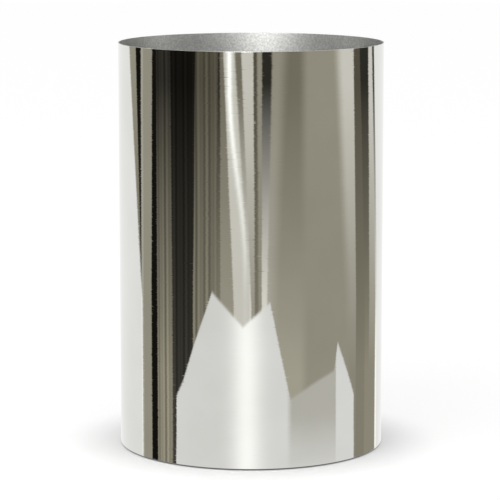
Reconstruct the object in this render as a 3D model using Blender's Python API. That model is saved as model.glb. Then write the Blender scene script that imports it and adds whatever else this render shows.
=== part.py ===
"""Par can uplight: a mirror-polished steel can dropped over a battery LED lamp with a tilting head.

Metres, +Z up. The origin is on the floor, on the can's axis. -Y is the front, and +Y the side of
the controls. The can lifts off upwards, the lamp head tilts about X between two arms, the two clamp
knobs turn, and the control panel has four push buttons and a rocker switch.

Run in Blender 4.5: blender --background --python part.py
"""

import math

import bmesh
import bpy
from mathutils import Matrix, Vector

# ---------------------------------------------------------------- clearances
SEAT = 0.0003  # between two faces that touch on the real lamp
FIT = 0.0003  # round a piece that sits in a hole or an opening
SLIDE = 0.0004  # round a piece that moves in its opening
OVER = 0.001  # how far a cutter runs past the wall it cuts, or a joined shape into its neighbour

# ---------------------------------------------------------------- the can
CAN_DIAMETER = 0.203
CAN_HEIGHT = 0.310
CAN_WALL = 0.0008
SHADOW_GAP = 0.0012  # floor to the can's lower edge
CUTOUT_HALF_WIDTH = 0.034  # service cut-out, open downwards, at the back
CUTOUT_TOP = 0.050
CUTOUT_CORNER = 0.008
TRIM_WIDTH = 0.0018  # rubber edging inside the cut-out
TRIM_DEPTH = 0.0022
BRACKET_ANGLES = (30.0, 150.0, 270.0)
BRACKET_WIDTH = 0.016
BRACKET_SHEET = 0.0015
BRACKET_LEG = 0.020
BRACKET_REACH = 0.0110

# ---------------------------------------------------------------- base pan and feet
FOOT_HEIGHT = 0.012
FOOT_RADIUS = 0.011
FOOT_TIP_RADIUS = 0.009
FOOT_INSET = 0.022  # pan edge to the foot's axis
FOOT_RECESS_RADIUS = 0.0055
FOOT_RECESS_DEPTH = 0.005
PAN_CLEARANCE = 0.0037  # pan wall to the inside of the can
PAN_SHEET = 0.002
PAN_HEIGHT = 0.034
PAN_LIP = 0.010
PAN_CORNER = 0.003
MAGNET_RADIUS = 0.003
MAGNET_THICKNESS = 0.003

# ---------------------------------------------------------------- lamp head
LENS_RECESS = 0.056  # can rim to the top of the bezel
SIDE_ROOM = 0.0287  # inside of the can to the side of the head
HOUSING_WALL = 0.0025
HOUSING_BOTTOM = -0.012  # heights on the head are measured from its tilt axis
LEDGE_TOP = 0.017
LEDGE_THICKNESS = 0.003
LEDGE_WIDTH = 0.009
RIM_WALL = 0.005
LENS_CARRIER = 0.0025
GASKET_THICKNESS = 0.002
GASKET_WIDTH = 0.005
GLASS_THICKNESS = 0.004
BEZEL_THICKNESS = 0.003
BEZEL_OVERHANG = 0.0065  # how far the bezel covers the glass
BEZEL_SKIRT = 0.0017
BEZEL_SKIRT_HEIGHT = 0.0085
BEZEL_CHAMFER = 0.0008
BEZEL_SCREWS = 3
BEZEL_SCREW_LENGTH = 0.008
LENS_RING = 6  # lenses round the middle one
LENS_FOOT_RADIUS = 0.006
LENS_CELL_GAP = 0.0015
EMITTER_SIDE = 0.006
EMITTER_HEIGHT = 0.0012
LENS_ROOT = 0.001  # how far a lens runs up into its carrier
BOARD_THICKNESS = 0.0016
LED_BOARD_MARGIN = 0.004
SINK_DISC = 0.0057
SINK_EDGE = 0.002  # edge of the disc to the ends of the fins
FIN_DEPTH = 0.027
FIN_THICKNESS = 0.002
FIN_PITCH = 0.008
SINK_HUB_RADIUS = 0.013
GLAND_RADIUS = 0.008
GLAND_HEIGHT = 0.012

# ---------------------------------------------------------------- tilt arms and knobs
BOSS_RADIUS = 0.012
BOSS_HEIGHT = 0.0035
WASHER_THICKNESS = 0.0012
WASHER_RADIUS = 0.011
ARM_SHEET = 0.003
ARM_HALF_WIDTH = 0.013
ARM_FOOT = 0.012  # turned in, under the head
ARM_SCREW_PROUD = 0.0015  # past the pan's under-face
PIVOT_SHANK = 0.0037
KNOB_RADIUS = 0.013
KNOB_COLLAR = 0.0015
KNOB_ROOM = 0.0056  # knob's end to the inside of the can
KNOB_LOBES = 12
KNOB_LOBE_DEPTH = 0.0009
SHANK_PAST_WALL = 0.002

# ---------------------------------------------------------------- battery and electronics
CELL_PITCH = 0.0186
CELL_ROWS = (5, 4)  # cells along X and along Y
BATTERY_HEIGHT = 0.070
BATTERY_SETBACK = -0.005
BATTERY_CORNER = 0.0085
BRIDGE_SHEET = 0.0012
BRIDGE_HALF_WIDTH = 0.032
BRIDGE_EAR = 0.013
STANDOFF_HEIGHT = 0.008
STANDOFF_FLATS = 0.0055
STANDOFF_SPACING = (0.052, 0.054)
STUD_RADIUS = 0.0014
STUD_PROUD = 0.002  # past the board
DRIVER_BOARD = (0.066, 0.068)
DRIVER_DRUMS = (  # coils and capacitors: middle, radius, height
    ((-0.012, -0.016), 0.0075, 0.010),
    ((0.008, -0.016), 0.0075, 0.010),
    ((-0.014, 0.006), 0.0050, 0.014),
    ((-0.001, 0.006), 0.0050, 0.014),
)
DRIVER_BLOCKS = (  # chip and cooling bar: middle, sides, height
    ((0.013, 0.002), (0.012, 0.012), 0.003),
    ((0.000, 0.018), (0.026, 0.004), 0.012),
)
CONNECTOR = (0.009, 0.012, 0.010)
CONNECTOR_SHIFT = 0.010  # along Y, from the board's middle
CONNECTOR_PROUD = 0.001  # past the board's edge
CONTROL_LEAD_X = 0.016

# ---------------------------------------------------------------- control panel
PANEL_HALF_WIDTH = 0.0345
PANEL_THICKNESS = 0.002
PANEL_CLIP = (0.0070, 0.0030)  # lower corners, clear of the pan's inside corner
PANEL_WINDOW = 0.0310  # half width of the pan's rear opening
BUTTON_X = (0.0255, 0.0185, 0.0115, 0.0045)
BUTTON_Z = 0.0225
BUTTON_RADIUS = 0.0025
BUTTON_FLANGE = 0.0007
BUTTON_PROUD = 0.0015
BUTTON_TRAVEL = 0.0010
BUTTON_LIP = 0.0004  # flange past its hole
BUTTON_STEM = (0.0012, 0.0025)  # radius and length
SWITCH_SIDE = 0.0050
DISPLAY_CENTRE = (0.015, 0.0365)
DISPLAY_SIZE = (0.024, 0.010)
DISPLAY_THICKNESS = 0.0012
DISPLAY_MARGIN = 0.0005  # window's edge to the display behind it
ROCKER_CENTRE = (-0.0095, 0.0290)
ROCKER_BEZEL = (0.0130, 0.0215)
ROCKER_BODY = (0.0112, 0.0186)
ROCKER_CAVITY = (0.0088, 0.0166)
ROCKER_BEZEL_PROUD = 0.0013
ROCKER_BODY_DEPTH = 0.0130
ROCKER_REACH = 0.0073
ROCKER_CREST = 0.0022
ROCKER_HALF_THROW = 10.0
ROCKER_HINGE_DEPTH = 0.0010
ROCKER_BACK = 0.003  # hinge to its back edges
ROCKER_BELLY = 0.002  # back edges to the crest behind
ROCKER_TAPER = 0.7  # back over front
SWITCH_FLOOR = 0.002
JACK_CENTRE = (-0.0240, 0.0290)
JACK_RADIUS = 0.0037
JACK_FLANGE = 0.0050
JACK_PROUD = 0.0012
JACK_DEPTH = 0.0120
JACK_BORE = 0.0028
JACK_PIN = 0.0010
JACK_FLOOR = 0.002
BOARD_BEHIND_PANEL = 0.0074
PANEL_POST = 0.0016  # radius of the posts that hold the control board
PANEL_POST_INSET = 0.0020
CONTROL_BOARD_X = (-0.0010, 0.0330)
CONTROL_BOARD_Z = (0.0165, 0.0425)

# ---------------------------------------------------------------- screws: shank and head radius, head height
M3 = (0.00125, 0.0022, 0.0018)
M4 = (0.00180, 0.0034, 0.0024)

# ---------------------------------------------------------------- leads
LEAD_RADIUS = 0.0020
LEAD_BEVEL_STEPS = 2
LEAD_POINT_STEP = 2.0  # diameters between points
LEAD_STRAIGHT = 0.008  # straight run at each end
BATTERY_EXIT = 0.014  # pack's top down to its lead

# ---------------------------------------------------------------- facets
FINE = 96
MEDIUM = 48
SMALL = 16
SCREW = 10

# ================================================================ sizes that follow
CAN_RADIUS = CAN_DIAMETER / 2
CAN_INSIDE = CAN_RADIUS - CAN_WALL
CAN_TOP = SHADOW_GAP + CAN_HEIGHT
PAN_RADIUS = CAN_INSIDE - PAN_CLEARANCE
PAN_FLOOR = FOOT_HEIGHT + PAN_SHEET  # upper face of the pan's floor
PAN_TOP = FOOT_HEIGHT + PAN_HEIGHT
DECK = PAN_FLOOR + SEAT  # where pieces stand in the pan
FOOT_CIRCLE = PAN_RADIUS - FOOT_INSET

HEAD_RADIUS = CAN_INSIDE - SIDE_ROOM
CARRIER_BOTTOM = LEDGE_TOP + SEAT
CARRIER_TOP = CARRIER_BOTTOM + LENS_CARRIER
GASKET_BOTTOM = CARRIER_TOP + SEAT
GLASS_BOTTOM = GASKET_BOTTOM + GASKET_THICKNESS + SEAT
HOUSING_TOP = GLASS_BOTTOM + GLASS_THICKNESS
BEZEL_BOTTOM = HOUSING_TOP + SEAT
HEAD_TOP = BEZEL_BOTTOM + BEZEL_THICKNESS
SINK_TOP = HOUSING_BOTTOM - SEAT
SINK_BOTTOM = SINK_TOP - SINK_DISC
FIN_BOTTOM = SINK_BOTTOM - FIN_DEPTH
RIM_INSIDE = HEAD_RADIUS - RIM_WALL
LED_BOARD_RADIUS = HEAD_RADIUS - HOUSING_WALL - LED_BOARD_MARGIN
EMITTER_TOP = SINK_TOP + SEAT + BOARD_THICKNESS + EMITTER_HEIGHT
PIVOT_Z = CAN_TOP - LENS_RECESS - HEAD_TOP

WASHER_X = HEAD_RADIUS + BOSS_HEIGHT + SEAT
ARM_X = WASHER_X + WASHER_THICKNESS + SEAT
KNOB_X = ARM_X + ARM_SHEET + SEAT
KNOB_END = CAN_INSIDE - KNOB_ROOM

BATTERY_X = CELL_ROWS[0] * CELL_PITCH
BATTERY_Y = CELL_ROWS[1] * CELL_PITCH
BATTERY_TOP = DECK + BATTERY_HEIGHT
BRIDGE_BOTTOM = BATTERY_TOP + SEAT
BRIDGE_TOP = BRIDGE_BOTTOM + BRIDGE_SHEET
BOARD_BOTTOM = BRIDGE_TOP + SEAT + STANDOFF_HEIGHT + SEAT
BOARD_TOP = BOARD_BOTTOM + BOARD_THICKNESS
BOARD_SIDE = DRIVER_BOARD[0] / 2 + CONNECTOR_PROUD  # the connectors' outer faces

PAN_WALL_INSIDE = PAN_RADIUS - PAN_SHEET
PANEL_FRONT = math.sqrt(PAN_WALL_INSIDE**2 - PANEL_HALF_WIDTH**2) - 3 * SEAT
PANEL_BACK = PANEL_FRONT - PANEL_THICKNESS
CONTROL_BOARD_FRONT = PANEL_BACK - BOARD_BEHIND_PANEL
CONTROL_BOARD_MIDDLE = (sum(CONTROL_BOARD_X) / 2, sum(CONTROL_BOARD_Z) / 2)

# Finishes: base colour, metallic, roughness
FINISHES = {
    "mirror_steel": ("#D9D8D4", 1.0, 0.04),
    "satin_steel": ("#B9BAB6", 1.0, 0.38),
    "black_powder_coat": ("#17181A", 0.0, 0.55),
    "die_cast_black": ("#202123", 0.3, 0.45),
    "anodised_silver": ("#A9ACAE", 1.0, 0.35),
    "zinc_steel": ("#B4B6B2", 1.0, 0.30),
    "black_rubber": ("#141414", 0.0, 0.80),
    "black_plastic": ("#1B1C1E", 0.0, 0.40),
    "battery_wrap": ("#1F4C8C", 0.0, 0.35),
    "circuit_board": ("#114A2C", 0.0, 0.45),
    "white_board": ("#E8E8E2", 0.0, 0.50),
    "clear_glass": ("#EDF4F6", 0.0, 0.05),
    "clear_acrylic": ("#EDF4F6", 0.0, 0.08),
    "smoked_window": ("#101418", 0.0, 0.08),
    "nickel": ("#C9C6BC", 1.0, 0.22),
    "magnet_nickel": ("#C0C2C4", 1.0, 0.25),
    "grey_silicone": ("#6E7072", 0.0, 0.60),
    "black_lead": ("#161616", 0.0, 0.50),
}


# ================================================================ tools
def linear(hex_colour):
    """A #RRGGBB colour as the linear values that a shader takes."""
    channels = [int(hex_colour[i : i + 2], 16) / 255 for i in (1, 3, 5)]
    return [c / 12.92 if c <= 0.04045 else ((c + 0.055) / 1.055) ** 2.4 for c in channels] + [1.0]


def finish(name):
    """The material of that finish, made once."""
    material = bpy.data.materials.get(name)
    if material:
        return material
    colour, metallic, roughness = FINISHES[name]
    material = bpy.data.materials.new(name)
    material.use_nodes = True
    shader = material.node_tree.nodes["Principled BSDF"]
    shader.inputs["Base Color"].default_value = linear(colour)
    shader.inputs["Metallic"].default_value = metallic
    shader.inputs["Roughness"].default_value = roughness
    return material


def object_from(bm, name, finish_name=None):
    """An object holding that mesh. Without a finish it is a cutter, which stays out of the part."""
    bmesh.ops.recalc_face_normals(bm, faces=bm.faces)
    mesh = bpy.data.meshes.new(name)
    bm.to_mesh(mesh)
    bm.free()
    made = bpy.data.objects.new(name, mesh)
    bpy.context.scene.collection.objects.link(made)
    if finish_name:
        mesh.materials.append(finish(finish_name))
        mesh.shade_smooth()
        mesh.set_sharp_from_angle(angle=math.radians(35))
    else:
        made.hide_render = True
        made.display_type = "WIRE"
    return made


def place(made, location=(0, 0, 0), parent=None, turn=None):
    """Puts an object at its place under its parent."""
    made.location = location
    if turn is not None:
        made.rotation_euler = turn
    made.parent = parent
    return made


def lathe(profile, segments):
    """A mesh turned about Z from (radius, height) points: a solid if its ends lie on the axis, or a ring."""
    bm = bmesh.new()
    points = [bm.verts.new((radius, 0, height)) for radius, height in profile]
    on_axis = profile[0][0] == 0 and profile[-1][0] == 0
    ends = points[1:] if on_axis else points[1:] + points[:1]
    edges = [bm.edges.new(pair) for pair in zip(points, ends)]
    about = {"cent": (0, 0, 0), "axis": (0, 0, 1), "angle": math.tau}
    bmesh.ops.spin(bm, geom=points + edges, steps=segments, use_merge=True, **about)
    bmesh.ops.remove_doubles(bm, verts=bm.verts, dist=1e-6)
    return bm


PLANES = {
    "XY": lambda a, b, along: (a, b, along),
    "XZ": lambda a, b, along: (a, along, b),
    "YZ": lambda a, b, along: (along, a, b),
}


def prism(outlines, plane, low, high):
    """Closed outlines in a plane, extruded from low to high across it, one body for each outline."""
    bm = bmesh.new()
    for outline in outlines:
        base = bm.faces.new([bm.verts.new(PLANES[plane](a, b, low)) for a, b in outline])
        step = Vector(PLANES[plane](0, 0, high - low))
        grown = bmesh.ops.extrude_face_region(bm, geom=[base], use_keep_orig=True)["geom"]
        bmesh.ops.translate(bm, verts=[v for v in grown if isinstance(v, bmesh.types.BMVert)], vec=step)
    return bm


def circle(radius, segments, centre=(0, 0)):
    """Points round a circle."""
    turns = (math.tau * i / segments for i in range(segments))
    return [(centre[0] + radius * math.cos(t), centre[1] + radius * math.sin(t)) for t in turns]


def rectangle(size, centre=(0, 0)):
    """The four corners of a rectangle."""
    a, b = size[0] / 2, size[1] / 2
    return [(centre[0] + x, centre[1] + y) for x, y in ((-a, -b), (a, -b), (a, b), (-a, b))]


def rounded_rectangle(size, corner, centre=(0, 0), steps=4):
    """A rectangle with an arc of that radius at each corner."""
    a, b = size[0] / 2 - corner, size[1] / 2 - corner
    points = []
    for quarter, (x, y) in enumerate(((a, b), (-a, b), (-a, -b), (a, -b))):
        for i in range(steps + 1):
            t = math.pi / 2 * (quarter + i / steps)
            points.append((centre[0] + x + corner * math.cos(t), centre[1] + y + corner * math.sin(t)))
    return points


def arch(half_width, bottom, top, corner, steps=6):
    """An upright opening's outline: a flat bottom, straight sides and rounded upper corners."""
    points = [(-half_width, bottom), (half_width, bottom)]
    for quarter, side in ((0, 1), (1, -1)):
        for i in range(steps + 1):
            t = math.pi / 2 * (quarter + i / steps)
            x = side * (half_width - corner) + corner * math.cos(t)
            points.append((x, top - corner + corner * math.sin(t)))
    return points


def combine(made, other, operation):
    """A Boolean of the two objects, as a modifier on the first one."""
    modifier = made.modifiers.new(operation.lower(), "BOOLEAN")
    modifier.operation = operation
    modifier.object = other
    modifier.solver = "EXACT"
    other.hide_render = True
    other.display_type = "WIRE"
    other.parent = made.parent
    return made


def cut(made, bm, name):
    """Takes a cutter's shape away. The cutter shares the parent's frame."""
    return combine(made, object_from(bm, name), "DIFFERENCE")


def join(made, bm, name):
    """Adds a shape that overlaps the object, so that the two are one body."""
    return combine(made, object_from(bm, name), "UNION")


def screw_mesh(size, length):
    """A socket screw along Z: its head's under-face is at 0, its shank runs down by length."""
    shank, head, height = size
    socket = head * 0.45
    return lathe(
        [
            (0, height * 0.45),
            (socket, height * 0.45),
            (socket, height),
            (head * 0.9, height),
            (head, height * 0.75),
            (head, 0),
            (shank, 0),
            (shank, -length),
            (0, -length),
        ],
        SCREW,
    )


def add_screw(name, size, length, location, parent=None, turn=None, finish_name="zinc_steel"):
    """A screw whose head bears on location and whose shank runs the other way."""
    return place(object_from(screw_mesh(size, length), name, finish_name), location, parent, turn)


def empty_at(name, location):
    """A frame that a moving group hangs on."""
    made = bpy.data.objects.new(name, None)
    made.location = location
    bpy.context.scene.collection.objects.link(made)
    return made


def polar(radius, degrees):
    """X and Y at that radius and bearing."""
    return radius * math.cos(math.radians(degrees)), radius * math.sin(math.radians(degrees))


def smooth_path(route, step):
    """Points about a step apart on a Catmull-Rom curve through the route's points."""
    knots = [Vector(p) for p in route]
    knots = [2 * knots[0] - knots[1], *knots, 2 * knots[-1] - knots[-2]]
    points = []
    for a, b, c, d in zip(knots, knots[1:], knots[2:], knots[3:]):
        count = max(2, math.ceil((c - b).length / step))
        for i in range(count):
            t = i / count
            bend = (2 * a - 5 * b + 4 * c - d) * t**2 + (3 * b - a - 3 * c + d) * t**3
            points.append(0.5 * (2 * b + (c - a) * t + bend))
    return points + [knots[-2]]


def add_lead(name, route):
    """A round lead along a route."""
    curve = bpy.data.curves.new(name, "CURVE")
    curve.dimensions = "3D"
    curve.bevel_depth = LEAD_RADIUS
    curve.bevel_resolution = LEAD_BEVEL_STEPS
    curve.use_fill_caps = True
    points = smooth_path(route, LEAD_POINT_STEP * 2 * LEAD_RADIUS)
    spline = curve.splines.new("POLY")
    spline.points.add(len(points) - 1)
    for target, point in zip(spline.points, points):
        target.co = (*point, 1.0)
    curve.materials.append(finish("black_lead"))
    made = bpy.data.objects.new(name, curve)
    bpy.context.scene.collection.objects.link(made)
    return made


# ================================================================ the can and what rides on it
def make_can():
    """The rolled and polished steel can, its cut-out edging and the three brackets welded inside it."""
    axis = empty_at("can_frame", (0, 0, 0))
    ring = [(CAN_RADIUS, SHADOW_GAP), (CAN_RADIUS, CAN_TOP), (CAN_INSIDE, CAN_TOP), (CAN_INSIDE, SHADOW_GAP)]
    can = place(object_from(lathe(ring, FINE), "polished_can", "mirror_steel"), parent=axis)
    opening = arch(CUTOUT_HALF_WIDTH, -OVER, CUTOUT_TOP, CUTOUT_CORNER)
    cut(can, prism([opening], "XZ", CAN_RADIUS / 2, CAN_RADIUS + OVER), "can_cutter")

    outer = arch(CUTOUT_HALF_WIDTH - FIT, SHADOW_GAP, CUTOUT_TOP - FIT, CUTOUT_CORNER - FIT)
    inner = arch(
        CUTOUT_HALF_WIDTH - FIT - TRIM_WIDTH,
        SHADOW_GAP - OVER,
        CUTOUT_TOP - FIT - TRIM_WIDTH,
        CUTOUT_CORNER - FIT - TRIM_WIDTH,
    )
    trim = object_from(prism([outer], "XZ", CAN_RADIUS / 2, CAN_RADIUS + OVER), "cutout_trim", "black_rubber")
    place(trim, parent=axis)
    cut(trim, prism([inner], "XZ", CAN_RADIUS / 2 - OVER, CAN_RADIUS + 2 * OVER), "trim_cutter")
    band = [
        (CAN_RADIUS, -OVER),
        (CAN_RADIUS, CUTOUT_TOP + OVER),
        (CAN_RADIUS - TRIM_DEPTH, CUTOUT_TOP + OVER),
        (CAN_RADIUS - TRIM_DEPTH, -OVER),
    ]
    combine(trim, object_from(lathe(band, FINE), "trim_band"), "INTERSECT")

    half = BRACKET_WIDTH / 2
    facet_sag = CAN_INSIDE * (1 - math.cos(math.pi / FINE))
    outside = math.sqrt((CAN_INSIDE - facet_sag) ** 2 - half**2) - SEAT
    seat = PAN_TOP + SEAT
    section = [
        (outside, seat),
        (outside, seat + BRACKET_LEG),
        (outside - BRACKET_SHEET, seat + BRACKET_LEG),
        (outside - BRACKET_SHEET, seat + BRACKET_SHEET),
        (outside - BRACKET_REACH, seat + BRACKET_SHEET),
        (outside - BRACKET_REACH, seat),
    ]
    for number, angle in enumerate(BRACKET_ANGLES, 1):
        bm = prism([section], "XZ", -half, half)
        turn = Matrix.Rotation(math.radians(angle), 3, "Z")
        bmesh.ops.rotate(bm, verts=bm.verts, cent=(0, 0, 0), matrix=turn)
        place(object_from(bm, f"rest_bracket_{number}", "zinc_steel"), parent=axis)


# ================================================================ base pan, feet and magnets
def arm_screw_places():
    """Where the screws hold the two arms to the pan, at the middle of each arm's foot."""
    x = ARM_X - ARM_FOOT / 2
    return [(side * x, y) for side in (-1, 1) for y in (-ARM_HALF_WIDTH / 2, ARM_HALF_WIDTH / 2)]


def bridge_screw_places():
    """Where the two screws hold the battery bridge's ears to the pan."""
    reach = BATTERY_Y / 2 + SEAT + BRIDGE_SHEET + BRIDGE_EAR / 2
    return [(0, BATTERY_SETBACK - reach), (0, BATTERY_SETBACK + reach)]


def foot_places():
    """The four feet, on a circle at 45 degrees to the axes."""
    return [polar(FOOT_CIRCLE, 45 + 90 * i) for i in range(4)]


def make_base():
    """The spun pan that carries everything, its rubber feet and the magnets that hold the can down."""
    low, high, wall = FOOT_HEIGHT, PAN_TOP, PAN_SHEET
    profile = [
        (0, low),
        (PAN_RADIUS - PAN_CORNER, low),
        (PAN_RADIUS, low + PAN_CORNER),
        (PAN_RADIUS, high),
        (PAN_RADIUS - PAN_LIP, high),
        (PAN_RADIUS - PAN_LIP, high - wall),
        (PAN_RADIUS - wall, high - wall),
        (PAN_RADIUS - wall, low + PAN_CORNER + wall / 2),
        (PAN_RADIUS - PAN_CORNER - wall / 2, low + wall),
        (0, low + wall),
    ]
    pan = object_from(lathe(profile, MEDIUM), "base_pan", "black_powder_coat")
    window = [(-PANEL_WINDOW, CONTROL_BOARD_FRONT), (PANEL_WINDOW, CONTROL_BOARD_FRONT)]
    window += [(PANEL_WINDOW, PAN_RADIUS + OVER), (-PANEL_WINDOW, PAN_RADIUS + OVER)]
    cut(pan, prism([window], "XY", PAN_FLOOR + PAN_CORNER, high + OVER), "window_cutter")
    m4_hole, m3_hole = M4[0] + FIT, M3[0] + FIT
    holes = [circle(m4_hole, SCREW, at) for at in foot_places() + arm_screw_places()]
    holes += [circle(m3_hole, SCREW, at) for at in bridge_screw_places()]
    cut(pan, prism(holes, "XY", low - OVER, PAN_FLOOR + OVER), "pan_hole_cutter")

    top = FOOT_HEIGHT - SEAT
    foot_profile = [
        (FOOT_TIP_RADIUS, 0),
        (FOOT_RADIUS, top),
        (m4_hole, top),
        (m4_hole, FOOT_RECESS_DEPTH),
        (FOOT_RECESS_RADIUS, FOOT_RECESS_DEPTH),
        (FOOT_RECESS_RADIUS, 0),
    ]
    screw_length = PAN_FLOOR - FOOT_RECESS_DEPTH
    for number, (x, y) in enumerate(foot_places(), 1):
        place(object_from(lathe(foot_profile, SMALL), f"foot_{number}", "black_rubber"), (x, y, 0))
        head_seat = (x, y, FOOT_RECESS_DEPTH - SEAT)
        add_screw(f"foot_screw_{number}", M4, screw_length, head_seat, turn=(math.pi, 0, 0))

    magnet_top = PAN_TOP - PAN_SHEET - SEAT
    magnet = [(0, magnet_top - MAGNET_THICKNESS), (MAGNET_RADIUS, magnet_top - MAGNET_THICKNESS)]
    magnet += [(MAGNET_RADIUS, magnet_top), (0, magnet_top)]
    middle_of_lip = PAN_RADIUS - (PAN_SHEET + PAN_LIP) / 2
    for number, angle in enumerate(BRACKET_ANGLES, 1):
        at = (*polar(middle_of_lip, angle), 0)
        place(object_from(lathe(magnet, SMALL), f"catch_magnet_{number}", "magnet_nickel"), at)


# ================================================================ arms that carry the head
def make_arms():
    """Two upright arms, each with a foot turned in and two screws through the pan."""
    rounded_end = [polar(ARM_HALF_WIDTH, 180 * i / 12) for i in range(13)]
    outline = [(y, PIVOT_Z + z) for y, z in rounded_end] + [(-ARM_HALF_WIDTH, DECK), (ARM_HALF_WIDTH, DECK)]
    screws = arm_screw_places()
    for name, side in (("left", -1), ("right", 1)):
        inner, outer = side * ARM_X, side * (ARM_X + ARM_SHEET)
        toe = inner - side * ARM_FOOT
        arm = object_from(prism([outline], "YZ", inner, outer), f"tilt_arm_{name}", "black_powder_coat")
        lap = inner + side * ARM_SHEET / 2
        foot = [(lap, -ARM_HALF_WIDTH), (toe, -ARM_HALF_WIDTH), (toe, ARM_HALF_WIDTH), (lap, ARM_HALF_WIDTH)]
        join(arm, prism([foot], "XY", DECK, DECK + ARM_SHEET), f"arm_foot_{name}")
        own = [at for at in screws if at[0] * side > 0]
        holes = [circle(M4[0] + FIT, SCREW, at) for at in own]
        cut(arm, prism(holes, "XY", DECK - OVER, DECK + ARM_SHEET + OVER), f"arm_screw_cutter_{name}")
        pivot = circle(PIVOT_SHANK + FIT, SMALL, (0, PIVOT_Z))
        cut(arm, prism([pivot], "YZ", inner - side * OVER, outer + side * OVER), f"arm_pivot_cutter_{name}")
    length = ARM_SHEET + PAN_SHEET + 2 * SEAT + ARM_SCREW_PROUD
    for number, (x, y) in enumerate(screws, 1):
        add_screw(f"arm_screw_{number}", M4, length, (x, y, DECK + ARM_SHEET + SEAT))


# ================================================================ battery, bridge and driver
def make_power():
    """The battery pack under its sheet bridge, and the driver board on four standoffs above it."""
    middle = (0, BATTERY_SETBACK)
    pack = rounded_rectangle((BATTERY_X, BATTERY_Y), BATTERY_CORNER, middle)
    object_from(prism([pack], "XY", DECK, BATTERY_TOP), "battery_pack", "battery_wrap")

    near, sheet = BATTERY_Y / 2 + SEAT, BRIDGE_SHEET
    right = [(near, BRIDGE_BOTTOM), (near, DECK), (near + sheet + BRIDGE_EAR, DECK)]
    right += [(near + sheet + BRIDGE_EAR, DECK + sheet), (near + sheet, DECK + sheet)]
    right.append((near + sheet, BRIDGE_TOP))
    hat = right + [(-y, z) for y, z in reversed(right)]
    hat = [(y + BATTERY_SETBACK, z) for y, z in hat]
    strip = prism([hat], "YZ", -BRIDGE_HALF_WIDTH, BRIDGE_HALF_WIDTH)
    bridge = object_from(strip, "battery_bridge", "satin_steel")
    ear_holes = [circle(M3[0] + FIT, SCREW, at) for at in bridge_screw_places()]
    cut(bridge, prism(ear_holes, "XY", DECK - OVER, DECK + sheet + OVER), "ear_cutter")
    spots = [
        (x * STANDOFF_SPACING[0] / 2, BATTERY_SETBACK + y * STANDOFF_SPACING[1] / 2)
        for x, y in ((-1, -1), (1, -1), (1, 1), (-1, 1))
    ]
    stud_holes = [circle(STUD_RADIUS + FIT, SCREW, at) for at in spots]
    cut(bridge, prism(stud_holes, "XY", BRIDGE_BOTTOM - OVER, BRIDGE_TOP + OVER), "stud_cutter")
    for number, (x, y) in enumerate(bridge_screw_places(), 1):
        add_screw(f"bridge_screw_{number}", M3, sheet + PAN_SHEET + 2 * SEAT, (x, y, DECK + sheet + SEAT))

    plate = prism([rectangle(DRIVER_BOARD, middle)], "XY", BOARD_BOTTOM, BOARD_TOP)
    board = object_from(plate, "driver_board", "circuit_board")
    cut(board, prism(stud_holes, "XY", BOARD_BOTTOM - OVER, BOARD_TOP + OVER), "board_cutter")
    root = BOARD_TOP - BOARD_THICKNESS / 2
    parts = [(circle(radius, SMALL, centre), height) for centre, radius, height in DRIVER_DRUMS]
    parts += [(rectangle(sides, centre), height) for centre, sides, height in DRIVER_BLOCKS]
    for number, (outline, height) in enumerate(parts):
        join(board, prism([outline], "XY", root, BOARD_TOP + height), f"driver_component_{number}")
    for name, (centre, size, _) in connectors().items():
        block = prism([rectangle(size, centre)], "XY", root, BOARD_TOP + CONNECTOR[2])
        join(board, block, f"{name}_connector")

    across = STANDOFF_FLATS / 2 / math.cos(math.pi / 6)
    for number, (x, y) in enumerate(spots, 1):
        base = BRIDGE_TOP + SEAT
        hexagon = prism([circle(across, 6)], "XY", base, base + STANDOFF_HEIGHT)
        standoff = place(object_from(hexagon, f"standoff_{number}", "nickel"), (x, y, 0))
        stud = prism([circle(STUD_RADIUS, SCREW)], "XY", BRIDGE_BOTTOM, BOARD_TOP + STUD_PROUD)
        join(standoff, stud, f"stud_{number}")
        bpy.data.objects[f"stud_{number}"].location = (x, y, 0)


def connectors():
    """The driver board's connectors: each one's middle, its size in X and Y, and its lead's way out."""
    deep, wide, high = CONNECTOR
    inset = BOARD_SIDE - deep / 2
    plug_z = BOARD_TOP + high / 2
    placed = {}
    for name, side in (("battery", 1), ("lamp", -1)):
        y = BATTERY_SETBACK + side * CONNECTOR_SHIFT
        placed[name] = ((side * inset, y), (deep, wide), (side * (BOARD_SIDE + SEAT), y, plug_z))
    x, back = CONTROL_LEAD_X, BATTERY_SETBACK + DRIVER_BOARD[1] / 2 + CONNECTOR_PROUD
    placed["control"] = ((x, back - deep / 2), (wide, deep), (x, back + SEAT, plug_z))
    return placed


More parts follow.
